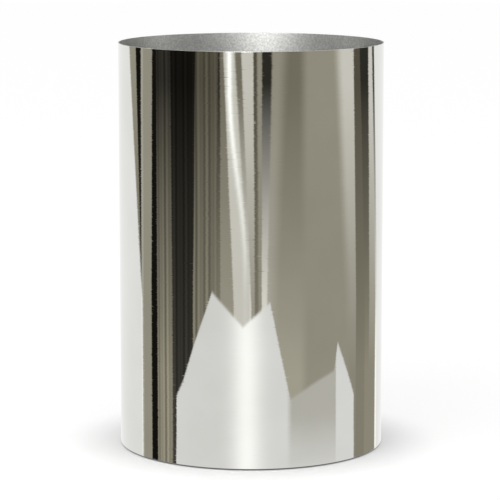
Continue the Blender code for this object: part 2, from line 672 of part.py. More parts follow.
# ================================================================ control panel
def make_controls():
    """The rear panel with its window, buttons, rocker switch and charge jack, and the board behind it."""
    bottom, top = DECK, PAN_TOP - PAN_SHEET - SEAT
    inset, rise = PANEL_CLIP
    side = [(PANEL_HALF_WIDTH - inset, bottom), (PANEL_HALF_WIDTH, bottom + rise), (PANEL_HALF_WIDTH, top)]
    face = side + [(-x, z) for x, z in reversed(side)]
    panel = object_from(prism([face], "XZ", PANEL_BACK, PANEL_FRONT), "control_panel", "black_plastic")
    openings = [circle(BUTTON_RADIUS + SLIDE, SMALL, (x, BUTTON_Z)) for x in BUTTON_X]
    openings.append(rectangle([length + 2 * FIT for length in DISPLAY_SIZE], DISPLAY_CENTRE))
    openings.append(rectangle([length + 2 * FIT for length in ROCKER_BODY], ROCKER_CENTRE))
    openings.append(circle(JACK_RADIUS + FIT, SMALL, JACK_CENTRE))
    cut(panel, prism(openings, "XZ", PANEL_BACK - OVER, PANEL_FRONT + OVER), "panel_cutter")
    board_edges = (CONTROL_BOARD_X[0] + PANEL_POST_INSET, CONTROL_BOARD_X[1] - PANEL_POST_INSET)
    for number, x in enumerate(board_edges):
        round_post = circle(PANEL_POST, SCREW, (x, CONTROL_BOARD_MIDDLE[1]))
        post = prism([round_post], "XZ", CONTROL_BOARD_FRONT + SEAT, PANEL_BACK + OVER)
        join(panel, post, f"panel_post_{number}")

    window = rectangle(DISPLAY_SIZE, DISPLAY_CENTRE)
    glazing = PANEL_FRONT - SEAT
    pane = prism([window], "XZ", glazing - DISPLAY_THICKNESS, glazing)
    object_from(pane, "display_window", "smoked_window")

    x_size = CONTROL_BOARD_X[1] - CONTROL_BOARD_X[0]
    z_size = CONTROL_BOARD_Z[1] - CONTROL_BOARD_Z[0]
    outline = rectangle((x_size, z_size), CONTROL_BOARD_MIDDLE)
    back = CONTROL_BOARD_FRONT - BOARD_THICKNESS
    board = object_from(prism([outline], "XZ", back, CONTROL_BOARD_FRONT), "control_board", "circuit_board")
    buried = CONTROL_BOARD_FRONT - BOARD_THICKNESS / 2
    flange_back = PANEL_BACK - SEAT - BUTTON_FLANGE
    stem, stem_length = BUTTON_STEM
    stem_end = flange_back - stem_length
    switches = [rectangle((SWITCH_SIDE, SWITCH_SIDE), (x, BUTTON_Z)) for x in BUTTON_X]
    join(board, prism(switches, "XZ", buried, stem_end - BUTTON_TRAVEL - SEAT), "tact_switches")
    module = rectangle([length - 2 * DISPLAY_MARGIN for length in DISPLAY_SIZE], DISPLAY_CENTRE)
    join(board, prism([module], "XZ", buried, glazing - DISPLAY_THICKNESS - SEAT), "display_module")

    flange = BUTTON_RADIUS + SLIDE + BUTTON_LIP
    button = [
        (0, stem_end - PANEL_FRONT),
        (stem, stem_end - PANEL_FRONT),
        (stem, flange_back - PANEL_FRONT),
        (flange, flange_back - PANEL_FRONT),
        (flange, flange_back + BUTTON_FLANGE - PANEL_FRONT),
        (BUTTON_RADIUS, flange_back + BUTTON_FLANGE - PANEL_FRONT),
        (BUTTON_RADIUS, BUTTON_PROUD * 0.7),
        (BUTTON_RADIUS * 0.8, BUTTON_PROUD),
        (0, BUTTON_PROUD),
    ]
    facing_back = (-math.pi / 2, 0, 0)  # the lathe's Z looks along +Y
    for number, x in enumerate(BUTTON_X, 1):
        made = object_from(lathe(button, SMALL), f"menu_button_{number}", "black_rubber")
        place(made, (x, PANEL_FRONT, BUTTON_Z), turn=facing_back)

    jack = [
        (JACK_PIN, -JACK_DEPTH + JACK_FLOOR),
        (JACK_BORE, -JACK_DEPTH + JACK_FLOOR),
        (JACK_BORE, JACK_PROUD + SEAT),
        (JACK_FLANGE, JACK_PROUD + SEAT),
        (JACK_FLANGE, SEAT),
        (JACK_RADIUS, SEAT),
        (JACK_RADIUS, -JACK_DEPTH),
        (0, -JACK_DEPTH),
    ]
    jack = [(0, -SEAT), (JACK_PIN, -SEAT), *jack]
    made = object_from(lathe(jack, SMALL), "charge_jack", "nickel")
    place(made, (JACK_CENTRE[0], PANEL_FRONT, JACK_CENTRE[1]), turn=facing_back)
    make_rocker_switch()


def make_rocker_switch():
    """The snap-in switch body and the rocker that pivots in it, at rest in its off position."""
    proud = PANEL_FRONT + SEAT
    bezel = rectangle(ROCKER_BEZEL, ROCKER_CENTRE)
    plate = prism([bezel], "XZ", proud, proud + ROCKER_BEZEL_PROUD)
    frame = object_from(plate, "rocker_frame", "black_plastic")
    body = rectangle(ROCKER_BODY, ROCKER_CENTRE)
    join(frame, prism([body], "XZ", PANEL_FRONT - ROCKER_BODY_DEPTH, proud + OVER / 2), "rocker_body")
    cavity = rectangle([ROCKER_CAVITY[0] + 2 * SLIDE, ROCKER_CAVITY[1]], ROCKER_CENTRE)
    floor = PANEL_FRONT - ROCKER_BODY_DEPTH + SWITCH_FLOOR
    cut(frame, prism([cavity], "XZ", floor, proud + ROCKER_BEZEL_PROUD + OVER), "rocker_cavity")

    rise = ROCKER_REACH * math.tan(math.radians(ROCKER_HALF_THROW))
    taper = ROCKER_REACH * ROCKER_TAPER
    side = [(ROCKER_CREST + rise, -ROCKER_REACH), (ROCKER_CREST, 0), (ROCKER_CREST + rise, ROCKER_REACH)]
    side += [(-ROCKER_BACK, taper), (-ROCKER_BACK - ROCKER_BELLY, 0), (-ROCKER_BACK, -taper)]
    half = ROCKER_CAVITY[0] / 2
    rocker = object_from(prism([side], "YZ", -half, half), "power_rocker", "black_plastic")
    at = (ROCKER_CENTRE[0], PANEL_FRONT - ROCKER_HINGE_DEPTH, ROCKER_CENTRE[1])
    place(rocker, at, turn=(math.radians(ROCKER_HALF_THROW), 0, 0))


# ================================================================ the tilting head
def lens_places():
    """One lens in the middle and a ring of them, and the radius that each may have."""
    radius = (RIM_INSIDE - LEDGE_WIDTH / 2 - LENS_CELL_GAP) / 3 - LENS_CELL_GAP / 2
    ring = [polar(2 * radius + LENS_CELL_GAP, 360 * i / LENS_RING) for i in range(LENS_RING)]
    return [(0, 0), *ring], radius


def make_head():
    """Housing, heat sink, LED board, lenses, gasket, glass and bezel, with heights from the tilt axis."""
    axis = empty_at("head_frame", (0, 0, PIVOT_Z))
    bore = HEAD_RADIUS - HOUSING_WALL
    shell = [
        (HEAD_RADIUS, HOUSING_BOTTOM),
        (HEAD_RADIUS, HOUSING_TOP),
        (RIM_INSIDE, HOUSING_TOP),
        (RIM_INSIDE, LEDGE_TOP),
        (HEAD_RADIUS - LEDGE_WIDTH, LEDGE_TOP),
        (HEAD_RADIUS - LEDGE_WIDTH, LEDGE_TOP - LEDGE_THICKNESS),
        (bore, LEDGE_TOP - LEDGE_THICKNESS),
        (bore, HOUSING_BOTTOM),
    ]
    housing = place(object_from(lathe(shell, MEDIUM), "lamp_housing", "die_cast_black"), parent=axis)
    for side in (-1, 1):
        root, end = side * (bore + OVER), side * (HEAD_RADIUS + BOSS_HEIGHT)
        boss = prism([circle(BOSS_RADIUS, SMALL)], "YZ", root, end)
        join(housing, boss, f"boss_{'left' if side < 0 else 'right'}")
    reach = HEAD_RADIUS + BOSS_HEIGHT + OVER
    through = prism([circle(PIVOT_SHANK + FIT, SMALL)], "YZ", -reach, reach)
    cut(housing, through, "boss_cutter")
    screw_circle = (RIM_INSIDE + HEAD_RADIUS) / 2
    spots = [polar(screw_circle, 90 + 360 * i / BEZEL_SCREWS) for i in range(BEZEL_SCREWS)]
    holes = [circle(M3[0] + FIT, SCREW, at) for at in spots]
    hole_bottom = HEAD_TOP - BEZEL_SCREW_LENGTH - 2 * SEAT
    cut(housing, prism(holes, "XY", hole_bottom, HEAD_TOP), "housing_screw_cutter")

    overhang = RIM_INSIDE - BEZEL_OVERHANG
    skirt_inside = HEAD_RADIUS + SEAT
    ring = [
        (overhang, HEAD_TOP - BEZEL_THICKNESS * 0.4),
        (overhang + BEZEL_THICKNESS * 0.6, HEAD_TOP),
        (skirt_inside + BEZEL_SKIRT - BEZEL_CHAMFER, HEAD_TOP),
        (skirt_inside + BEZEL_SKIRT, HEAD_TOP - BEZEL_CHAMFER),
        (skirt_inside + BEZEL_SKIRT, BEZEL_BOTTOM - BEZEL_SKIRT_HEIGHT),
        (skirt_inside, BEZEL_BOTTOM - BEZEL_SKIRT_HEIGHT),
        (skirt_inside, BEZEL_BOTTOM),
        (overhang, BEZEL_BOTTOM),
    ]
    bezel = place(object_from(lathe(ring, MEDIUM), "bezel_ring", "anodised_silver"), parent=axis)
    cut(bezel, prism(holes, "XY", BEZEL_BOTTOM - OVER, HEAD_TOP + OVER), "bezel_cutter")
    for number, (x, y) in enumerate(spots, 1):
        add_screw(f"bezel_screw_{number}", M3, BEZEL_SCREW_LENGTH, (x, y, HEAD_TOP + SEAT), axis)

    pane = [(0, GLASS_BOTTOM), (RIM_INSIDE - FIT, GLASS_BOTTOM)]
    pane += [(RIM_INSIDE - FIT, HOUSING_TOP), (0, HOUSING_TOP)]
    place(object_from(lathe(pane, MEDIUM), "front_glass", "clear_glass"), parent=axis)
    inner = RIM_INSIDE - FIT - GASKET_WIDTH
    seal = [(RIM_INSIDE - FIT, GASKET_BOTTOM), (RIM_INSIDE - FIT, GLASS_BOTTOM - SEAT)]
    seal += [(inner, GLASS_BOTTOM - SEAT), (inner, GASKET_BOTTOM)]
    place(object_from(lathe(seal, MEDIUM), "glass_gasket", "grey_silicone"), parent=axis)

    make_optics(axis)
    make_heat_sink(axis)
    return axis


def make_optics(axis):
    """The LED board with its emitters, and the moulded array of cone lenses over them."""
    spots, radius = lens_places()
    carrier = [(0, CARRIER_BOTTOM), (RIM_INSIDE - FIT, CARRIER_BOTTOM)]
    carrier += [(RIM_INSIDE - FIT, CARRIER_TOP), (0, CARRIER_TOP)]
    array = place(object_from(lathe(carrier, MEDIUM), "lens_array", "clear_acrylic"), parent=axis)
    tip = EMITTER_TOP + SEAT
    root = CARRIER_BOTTOM + LENS_ROOT
    cone = [(0, tip), (LENS_FOOT_RADIUS, tip), (radius, CARRIER_BOTTOM), (radius, root), (0, root)]
    for number, at in enumerate(spots):
        bm = lathe(cone, SMALL)
        bmesh.ops.translate(bm, verts=bm.verts, vec=(*at, 0))
        join(array, bm, f"lens_{number}")

    low = SINK_TOP + SEAT
    high = low + BOARD_THICKNESS
    disc = [(0, low), (LED_BOARD_RADIUS, low), (LED_BOARD_RADIUS, high), (0, high)]
    board = place(object_from(lathe(disc, MEDIUM), "led_board", "white_board"), parent=axis)
    dies = [rectangle((EMITTER_SIDE, EMITTER_SIDE), at) for at in spots]
    join(board, prism(dies, "XY", (low + high) / 2, EMITTER_TOP), "emitters")


def make_heat_sink(axis):
    """A disc with parallel fins under it, a hub in the middle and the lead's gland in the hub."""
    radius = HEAD_RADIUS
    disc = [(0, SINK_BOTTOM), (radius, SINK_BOTTOM), (radius, SINK_TOP), (0, SINK_TOP)]
    sink = place(object_from(lathe(disc, MEDIUM), "heat_sink", "anodised_silver"), parent=axis)
    reach = radius - SINK_EDGE
    count = int((reach - FIN_THICKNESS / 2) // FIN_PITCH)
    fins = []
    for i in range(-count, count + 1):
        x = i * FIN_PITCH
        half = math.sqrt(reach**2 - (abs(x) + FIN_THICKNESS / 2) ** 2)
        fins.append(rectangle((FIN_THICKNESS, 2 * half), (x, 0)))
    join(sink, prism(fins, "XY", FIN_BOTTOM, SINK_BOTTOM + OVER), "fins")
    hub = prism([circle(SINK_HUB_RADIUS, SMALL)], "XY", FIN_BOTTOM - OVER, SINK_BOTTOM + 2 * OVER)
    join(sink, hub, "sink_hub")

    top = FIN_BOTTOM - OVER - SEAT
    hexagon = prism([circle(GLAND_RADIUS, 6)], "XY", top - GLAND_HEIGHT / 2, top)
    gland = place(object_from(hexagon, "lead_gland", "black_plastic"), parent=axis)
    nut = [(0, top - GLAND_HEIGHT), (GLAND_RADIUS * 0.55, top - GLAND_HEIGHT)]
    nut += [(GLAND_RADIUS * 0.8, top - GLAND_HEIGHT * 0.75), (GLAND_RADIUS * 0.8, top - GLAND_HEIGHT / 3)]
    nut.append((0, top - GLAND_HEIGHT / 3))
    join(gland, lathe(nut, SMALL), "gland_nut")


def make_knobs(axis):
    """The two clamp knobs on the tilt axis, each with a washer between the housing and its arm."""
    inner_end = HEAD_RADIUS - HOUSING_WALL - SHANK_PAST_WALL
    for name, side in (("left", -1), ("right", 1)):
        ring = [
            (PIVOT_SHANK + FIT, WASHER_X),
            (WASHER_RADIUS, WASHER_X),
            (WASHER_RADIUS, WASHER_X + WASHER_THICKNESS),
            (PIVOT_SHANK + FIT, WASHER_X + WASHER_THICKNESS),
        ]
        outwards = (0, side * math.pi / 2, 0)  # the lathe's Z looks along X, away from the head
        washer = object_from(lathe(ring, SMALL), f"friction_washer_{name}", "black_rubber")
        place(washer, parent=axis, turn=outwards)

        grip = []
        steps = 4 * KNOB_LOBES
        for i in range(steps):
            t = math.tau * i / steps
            r = KNOB_RADIUS - KNOB_LOBE_DEPTH * (1 - math.cos(KNOB_LOBES * t)) / 2
            grip.append((r * math.cos(t), r * math.sin(t)))
        body = prism([grip], "XY", KNOB_X + KNOB_COLLAR, KNOB_END)
        knob = place(object_from(body, f"tilt_knob_{name}", "black_plastic"), parent=axis, turn=outwards)
        shank = [(0, inner_end), (PIVOT_SHANK, inner_end), (PIVOT_SHANK, KNOB_X)]
        shank += [(KNOB_RADIUS * 0.7, KNOB_X), (KNOB_RADIUS * 0.7, KNOB_X + KNOB_COLLAR + OVER)]
        shank.append((0, KNOB_X + KNOB_COLLAR + OVER))
        join(knob, lathe(shank, SMALL), f"knob_shank_{name}")
        bpy.data.objects[f"knob_shank_{name}"].rotation_euler = outwards


# ================================================================ leads
def make_leads():
    """From the driver board to the battery, to the control board and to the gland under the heat sink."""
    plugs = {name: Vector(plug) for name, (_, _, plug) in connectors().items()}
    start = plugs["battery"]
    pack = Vector((BATTERY_X / 2 + SEAT, start.y, BATTERY_TOP - BATTERY_EXIT))
    bow = pack.x + 0.014
    add_lead(
        "battery_lead",
        straight_end(pack, (1, 0, 0))
        + [(bow, start.y, pack.z + 0.008), (bow, start.y, start.z - 0.010)]
        + straight_end(start, (1, 0, 0))[::-1],
    )

    start = plugs["lamp"]
    mouth = Vector((0, 0, PIVOT_Z + FIN_BOTTOM - OVER - SEAT - GLAND_HEIGHT - SEAT))
    low = mouth.z - 0.016
    add_lead(
        "lamp_lead",
        straight_end(start, (-1, 0, 0))
        + [
            start + Vector((-0.019, 0.002, 0.007)),
            start + Vector((-0.022, 0.006, (low - start.z) / 2)),
            (start.x - 0.016, 0.7 * start.y, low - 0.006),
            (start.x - 0.003, 0.4 * start.y, low),
            (start.x / 2, 0.1 * start.y, low - 0.001),
            (start.x / 5, 0, low + 0.001),
        ]
        + straight_end(mouth, (0, 0, -1))[::-1],
    )

    start = plugs["control"]
    end = Vector((CONTROL_LEAD_X, CONTROL_BOARD_FRONT - BOARD_THICKNESS - SEAT, CONTROL_BOARD_MIDDLE[1]))
    add_lead(
        "control_lead",
        straight_end(start, (0, 1, 0))
        + [
            start + Vector((0, 0.019, -0.009)),
            (CONTROL_LEAD_X, (start.y + end.y) / 2, (start.z + end.z) / 2),
            end + Vector((0, -0.019, 0.009)),
        ]
        + straight_end(end, (0, -1, 0))[::-1],
    )


def straight_end(end, away):
    """The first points of a lead that leaves its end squarely."""
    return [end + Vector(away) * LEAD_STRAIGHT * share for share in (0, 0.5, 1)]


def main():
    """Builds the lamp in an empty scene."""
    for obj in list(bpy.data.objects):
        bpy.data.objects.remove(obj)
    make_can()
    make_base()
    make_arms()
    make_power()
    make_controls()
    head = make_head()
    make_knobs(head)
    make_leads()


main()
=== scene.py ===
"""Looks of the par can uplight: a mirror-polished steel can dropped over a battery LED lamp.

Metres, +Z up, in the frame's own coordinates: the can stands round Z, -Y is its front, and the control
panel looks along +Y. A shape here is a pair: an array of points, and a list of faces that number them.
"""

import math

import bmesh
import bpy
import numpy as np
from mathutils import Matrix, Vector


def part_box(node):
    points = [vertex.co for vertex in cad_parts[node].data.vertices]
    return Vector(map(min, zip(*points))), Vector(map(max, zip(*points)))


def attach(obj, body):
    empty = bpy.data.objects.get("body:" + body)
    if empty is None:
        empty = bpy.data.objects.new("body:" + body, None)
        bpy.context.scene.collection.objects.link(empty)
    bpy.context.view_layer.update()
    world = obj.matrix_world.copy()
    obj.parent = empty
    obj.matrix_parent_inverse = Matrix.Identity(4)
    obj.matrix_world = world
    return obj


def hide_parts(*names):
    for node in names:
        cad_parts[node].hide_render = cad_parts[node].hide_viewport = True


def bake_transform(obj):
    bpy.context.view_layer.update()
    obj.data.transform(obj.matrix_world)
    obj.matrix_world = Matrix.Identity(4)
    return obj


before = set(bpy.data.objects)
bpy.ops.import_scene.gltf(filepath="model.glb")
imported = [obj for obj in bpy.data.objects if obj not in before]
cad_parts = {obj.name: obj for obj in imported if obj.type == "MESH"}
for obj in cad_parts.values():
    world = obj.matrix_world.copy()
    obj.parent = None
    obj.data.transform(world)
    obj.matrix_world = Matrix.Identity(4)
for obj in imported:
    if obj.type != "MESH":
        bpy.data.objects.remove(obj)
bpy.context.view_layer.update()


# ================================================================ sizes, read from the frame
def extent(node):
    """Lowest and highest corner of a CAD node, as two arrays."""
    return tuple(np.array(corner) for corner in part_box(node))


def middle(node):
    """Centre of a CAD node's box."""
    return sum(extent(node)) / 2


CAN_LOW, CAN_HIGH = extent("polished_can")
CAN_RADIUS = CAN_HIGH[0]
CAN_WALL = 0.0008
TRIM_LOW, TRIM_HIGH = extent("cutout_trim")
TRIM_GAP = 0.0003
CUTOUT_HALF = TRIM_HIGH[0] + TRIM_GAP
CUTOUT_TOP = TRIM_HIGH[2] + TRIM_GAP
CUTOUT_CORNER = 0.008


# ================================================================ shapes
FACING = {
    "up": np.eye(3),
    "down": np.diag((1.0, -1.0, -1.0)),
    "right": np.array([[0, 0, 1], [0, 1, 0], [-1, 0, 0]]),
    "left": np.array([[0, 0, -1], [0, 1, 0], [1, 0, 0]]),
    "back": np.array([[1, 0, 0], [0, 0, 1], [0, -1, 0]]),
}


def moved(shape, at=(0, 0, 0), facing="up"):
    """The shape with its own Z turned to that side, and its origin carried to a point."""
    points, faces = shape
    return points @ FACING[facing].T + np.array(at, float), faces


def together(shapes):
    """Several shapes as one: their points in a row, with each one's faces numbered on."""
    points, faces, count = [], [], 0
    for some_points, some_faces in shapes:
        points.append(some_points)
        faces += [[i + count for i in face] for face in some_faces]
        count += len(some_points)
    return np.concatenate(points), faces


def grid(points, around=True, missing=()):
    """A surface from an array of rows by columns by 3. Each point joins its neighbours in the next row and
    column. With around, the last column joins the first. Missing is (row, column) pairs of left-out cells."""
    rows, columns = points.shape[:2]
    r, c = np.meshgrid(np.arange(rows - 1), np.arange(columns if around else columns - 1), indexing="ij")
    after = (c + 1) % columns
    row, above = r * columns, (r + 1) * columns
    cells = np.stack([row + c, row + after, above + after, above + c], -1)
    kept = np.ones(cells.shape[:2], bool)
    if len(missing):
        kept[tuple(np.array(missing).T)] = False
    return points.reshape(-1, 3), cells[kept].tolist()


def rounded(corners, radius, steps=4, closed=False):
    """A line with arcs at its corners. An arc meets both sides at radius times the tangent of half the
    turn from the corner, or at nearly half of the shorter side, and sweeps the turn in equal steps."""
    corners = np.array(corners, float)
    ends = [] if closed else [corners[:1], corners[-1:]]
    line = []
    for i in range(0 if closed else 1, len(corners) - (0 if closed else 1)):
        corner = corners[i]
        back, on = corners[i - 1] - corner, corners[(i + 1) % len(corners)] - corner
        reach = 0.49 * min(np.linalg.norm(back), np.linalg.norm(on))
        back, on = back / np.linalg.norm(back), on / np.linalg.norm(on)
        turn = math.pi - math.acos(np.clip(back @ on, -1, 1))
        if turn < 0.02:
            line.append(corner[None])
            continue
        cut = min(radius * math.tan(turn / 2), reach)
        bend = cut / math.tan(turn / 2)
        centre = corner + (back + on) / np.linalg.norm(back + on) * bend / math.cos(turn / 2)
        first, last = corner + back * cut - centre, corner + on * cut - centre
        t = np.linspace(0, 1, steps + 1)[:, None]
        line.append(centre + (first * np.sin((1 - t) * turn) + last * np.sin(t * turn)) / math.sin(turn))
    return np.concatenate(ends[:1] + line + ends[1:])


def turned(profile, columns=96, closed=False, outline=None, share=0.0):
    """A turned shape. A profile point (r, z) goes round the axis: (r cos t, r sin t, z) for t from 0 to a
    full turn. An outline is a function of t that multiplies r, by the share given for each point. The
    profile runs from below, out and up, so that faces point outwards. Closed joins its two ends."""
    profile = np.array(profile, float)
    if closed:
        profile = np.concatenate([profile, profile[:1]])
        share = np.append(share, share[0]) if np.ndim(share) else share
    t = np.linspace(0, math.tau, columns, endpoint=False)
    radius = np.repeat(profile[:, :1], columns, 1)
    if outline is not None:
        radius = radius * (1 + np.reshape(share, (-1, 1)) * (outline(t) - 1))
    height = np.repeat(profile[:, 1:], columns, 1)
    return grid(np.stack([radius * np.cos(t), radius * np.sin(t), height], -1))


def slab(outline, low, high, edge=0.0003, steps=2):
    """A plate: an anticlockwise outline raised from low to high. Its edges are quarter arcs, where the
    outline moves in along its own normals by edge * (1 - cos a) while the height moves by edge * (1 - sin a)."""
    outline = np.array(outline, float)
    on, back = np.roll(outline, -1, 0) - outline, outline - np.roll(outline, 1, 0)
    normals = [np.stack([d[:, 1], -d[:, 0]], 1) / np.linalg.norm(d, axis=1)[:, None] for d in (on, back)]
    mitre = normals[0] + normals[1]
    mitre /= np.maximum((mitre * normals[0]).sum(1), 0.5)[:, None]
    a = np.linspace(0, math.pi / 2, steps + 1)
    inset = edge * np.concatenate([1 - np.sin(a), 1 - np.sin(a[::-1])])
    height = np.concatenate([low + edge * (1 - np.cos(a)), high - edge * (1 - np.cos(a[::-1]))])
    flat = outline[None] - mitre[None] * inset[:, None, None]
    rows = np.concatenate([flat, np.broadcast_to(height[:, None, None], (*flat.shape[:2], 1))], 2)
    points, faces = grid(rows)
    count = len(outline)
    return points, faces + [list(range(count))[::-1], list(range(len(points) - count, len(points)))]


def tube(path, radius, sides=20):
    """A round tube along a path: at each point, a circle of that radius in the plane across the path. The
    circle's first direction is carried along and made square to the path again at each step."""
    path = np.array(path, float)
    along = np.gradient(path, axis=0)
    along /= np.linalg.norm(along, axis=1)[:, None]
    side = np.zeros_like(path)
    side[0] = np.cross(along[0], (0.31, 0.74, 0.59))
    for i in range(len(path)):
        before = side[max(i - 1, 0)]
        side[i] = before - along[i] * (before @ along[i])
        side[i] /= np.linalg.norm(side[i])
    other = np.cross(along, side)
    t = np.linspace(0, math.tau, sides, endpoint=False)[None, :, None]
    radius = np.reshape(np.broadcast_to(radius, len(path)), (-1, 1, 1))
    points = path[:, None] + radius * (side[:, None] * np.cos(t) + other[:, None] * np.sin(t))
    shape, faces = grid(points[:, ::1])
    return shape, faces + [list(range(sides))[::-1], list(range(len(shape) - sides, len(shape)))]


def smooth_path(route, step):
    """Points about a step apart on the smooth curve through a route. Between b and c it is
    (2b + (c - a)t + (2a - 5b + 4c - d)t^2 + (3b - a - 3c + d)t^3) / 2, where a and d are the points beyond."""
    knots = np.array(route, float)
    knots = np.concatenate([[2 * knots[0] - knots[1]], knots, [2 * knots[-1] - knots[-2]]])
    runs = []
    for a, b, c, d in zip(knots, knots[1:], knots[2:], knots[3:]):
        count = max(2, math.ceil(np.linalg.norm(c - b) / step))
        t = (np.arange(count) / count)[:, None]
        square, cube = 2 * a - 5 * b + 4 * c - d, 3 * b - a - 3 * c + d
        runs.append((2 * b + (c - a) * t + square * t**2 + cube * t**3) / 2)
    return np.concatenate([*runs, knots[-2:-1]])


def polygon(count, radius, turn=0.0):
    """Corners of a regular polygon, anticlockwise."""
    t = math.tau * np.arange(count) / count + turn
    return np.stack([radius * np.cos(t), radius * np.sin(t)], 1)


def rectangle(size, centre=(0, 0), corner=0.0, steps=4):
    """A rectangle's outline, anticlockwise, with arcs at its corners."""
    a, b = size[0] / 2, size[1] / 2
    corners = np.array([(-a, -b), (a, -b), (a, b), (-a, b)]) + centre
    return rounded(corners, corner, steps, closed=True) if corner else corners


# ================================================================ pieces
def weld(mesh):
    """Closes seams and poles: points that lie on each other become one."""
    bm = bmesh.new()
    bm.from_mesh(mesh)
    bmesh.ops.remove_doubles(bm, verts=bm.verts, dist=2e-7)
    bm.to_mesh(mesh)
    bm.free()


def shade(mesh, degrees):
    """Smooth shading, with an edge kept sharp where its faces turn by more than that."""
    mesh.shade_smooth()
    mesh.set_sharp_from_angle(angle=math.radians(degrees))


def stage_piece(name, shape, material, tones=None):
    """A mesh that is not part of the lamp. Tones are linear colours, one for each point."""
    mesh = bpy.data.meshes.new(name)
    mesh.from_pydata(shape[0], [], shape[1])
    if tones is not None:
        store = mesh.attributes.new("tone", "FLOAT_COLOR", "POINT")
        store.data.foreach_set("color", np.c_[tones, np.ones(len(tones))].astype(np.float32).ravel())
    mesh.materials.append(material)
    made = bpy.data.objects.new(name, mesh)
    bpy.context.scene.collection.objects.link(made)
    return made


def piece(name, shape, materials, body, nodes=(), sharp=32):
    """A part of the lamp from a shape: it rides on a body and stands for CAD nodes."""
    mesh = bpy.data.meshes.new(name)
    mesh.from_pydata(shape[0], [], shape[1])
    weld(mesh)
    shade(mesh, sharp)
    made = bpy.data.objects.new(name, mesh)
    bpy.context.scene.collection.objects.link(made)
    return finished(made, materials, body, nodes)


def finished(made, materials, body, nodes):
    """Gives a piece its materials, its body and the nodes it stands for."""
    for material in materials if isinstance(materials, (list, tuple)) else [materials]:
        made.data.materials.append(material)
    if body:
        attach(made, body)
    if nodes:
        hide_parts(*([nodes] if isinstance(nodes, str) else nodes))
    return made


def bevel(made, width, segments=2, degrees=32):
    """Rounds a piece's sharp edges a little, so that they catch light."""
    modifier = made.modifiers.new("edges", "BEVEL")
    modifier.width = width
    modifier.segments = segments
    modifier.limit_method = "ANGLE"
    modifier.angle_limit = math.radians(degrees)
    modifier.harden_normals = True
    return made


def merged(node, name, material, body, edge=0.0003):
    """A CAD node's own shape with its triangles merged into faces and its edges rounded."""
    bm = bmesh.new()
    bm.from_mesh(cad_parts[node].data)
    bmesh.ops.remove_doubles(bm, verts=bm.verts, dist=1e-6)
    bmesh.ops.dissolve_limit(bm, angle_limit=math.radians(0.5), verts=bm.verts, edges=bm.edges)
    mesh = bpy.data.meshes.new(name)
    bm.to_mesh(mesh)
    bm.free()
    shade(mesh, 32)
    made = bpy.data.objects.new(name, mesh)
    bpy.context.scene.collection.objects.link(made)
    finished(made, material, body, node)
    return bevel(made, edge) if edge else made


# ================================================================ materials
def linear(hex_colour):
    """An sRGB #RRGGBB colour as linear values."""
    channels = [int(hex_colour[i : i + 2], 16) / 255 for i in (1, 3, 5)]
    return [c / 12.92 if c <= 0.04045 else ((c + 0.055) / 1.055) ** 2.4 for c in channels] + [1.0]


def add(tree, kind, inputs, output=0, stops=(), **settings):
    """Adds a node with its settings. An input is a value, a hex colour or another node's output. Stops are a
    ramp's (place, colour) pairs. It returns the node's output of that number or name."""
    node = tree.nodes.new("ShaderNode" + kind)
    for name, value in settings.items():
        setattr(node, name, value)
    for name, value in inputs.items():
        if isinstance(value, bpy.types.NodeSocket):
            tree.links.new(value, node.inputs[name])
        else:
            node.inputs[name].default_value = linear(value) if isinstance(value, str) else value
    for i, (place, colour) in enumerate(stops):
        ramp = node.color_ramp.elements
        stop = ramp[i] if i < len(ramp) else ramp.new(place)
        stop.position = place
        stop.color = linear(colour) if isinstance(colour, str) else (colour, colour, colour, 1)
    return node.outputs[output]


def surface(name, **constants):
    """A new material, its node tree, its Principled shader and its object coordinates."""
    made = bpy.data.materials.new(name)
    made.use_nodes = True
    tree = made.node_tree
    shader = tree.nodes["Principled BSDF"]
    for socket, value in constants.items():
        socket = socket.replace("_", " ")
        shader.inputs[socket].default_value = linear(value) if isinstance(value, str) else value
    return made, tree, shader, add(tree, "TexCoord", {}, "Object")


# ---------------------------------------------------------------- steel of the can
MIRROR_TINT = "#DDDCD9"
HAIRLINE_LEAN = 20.0


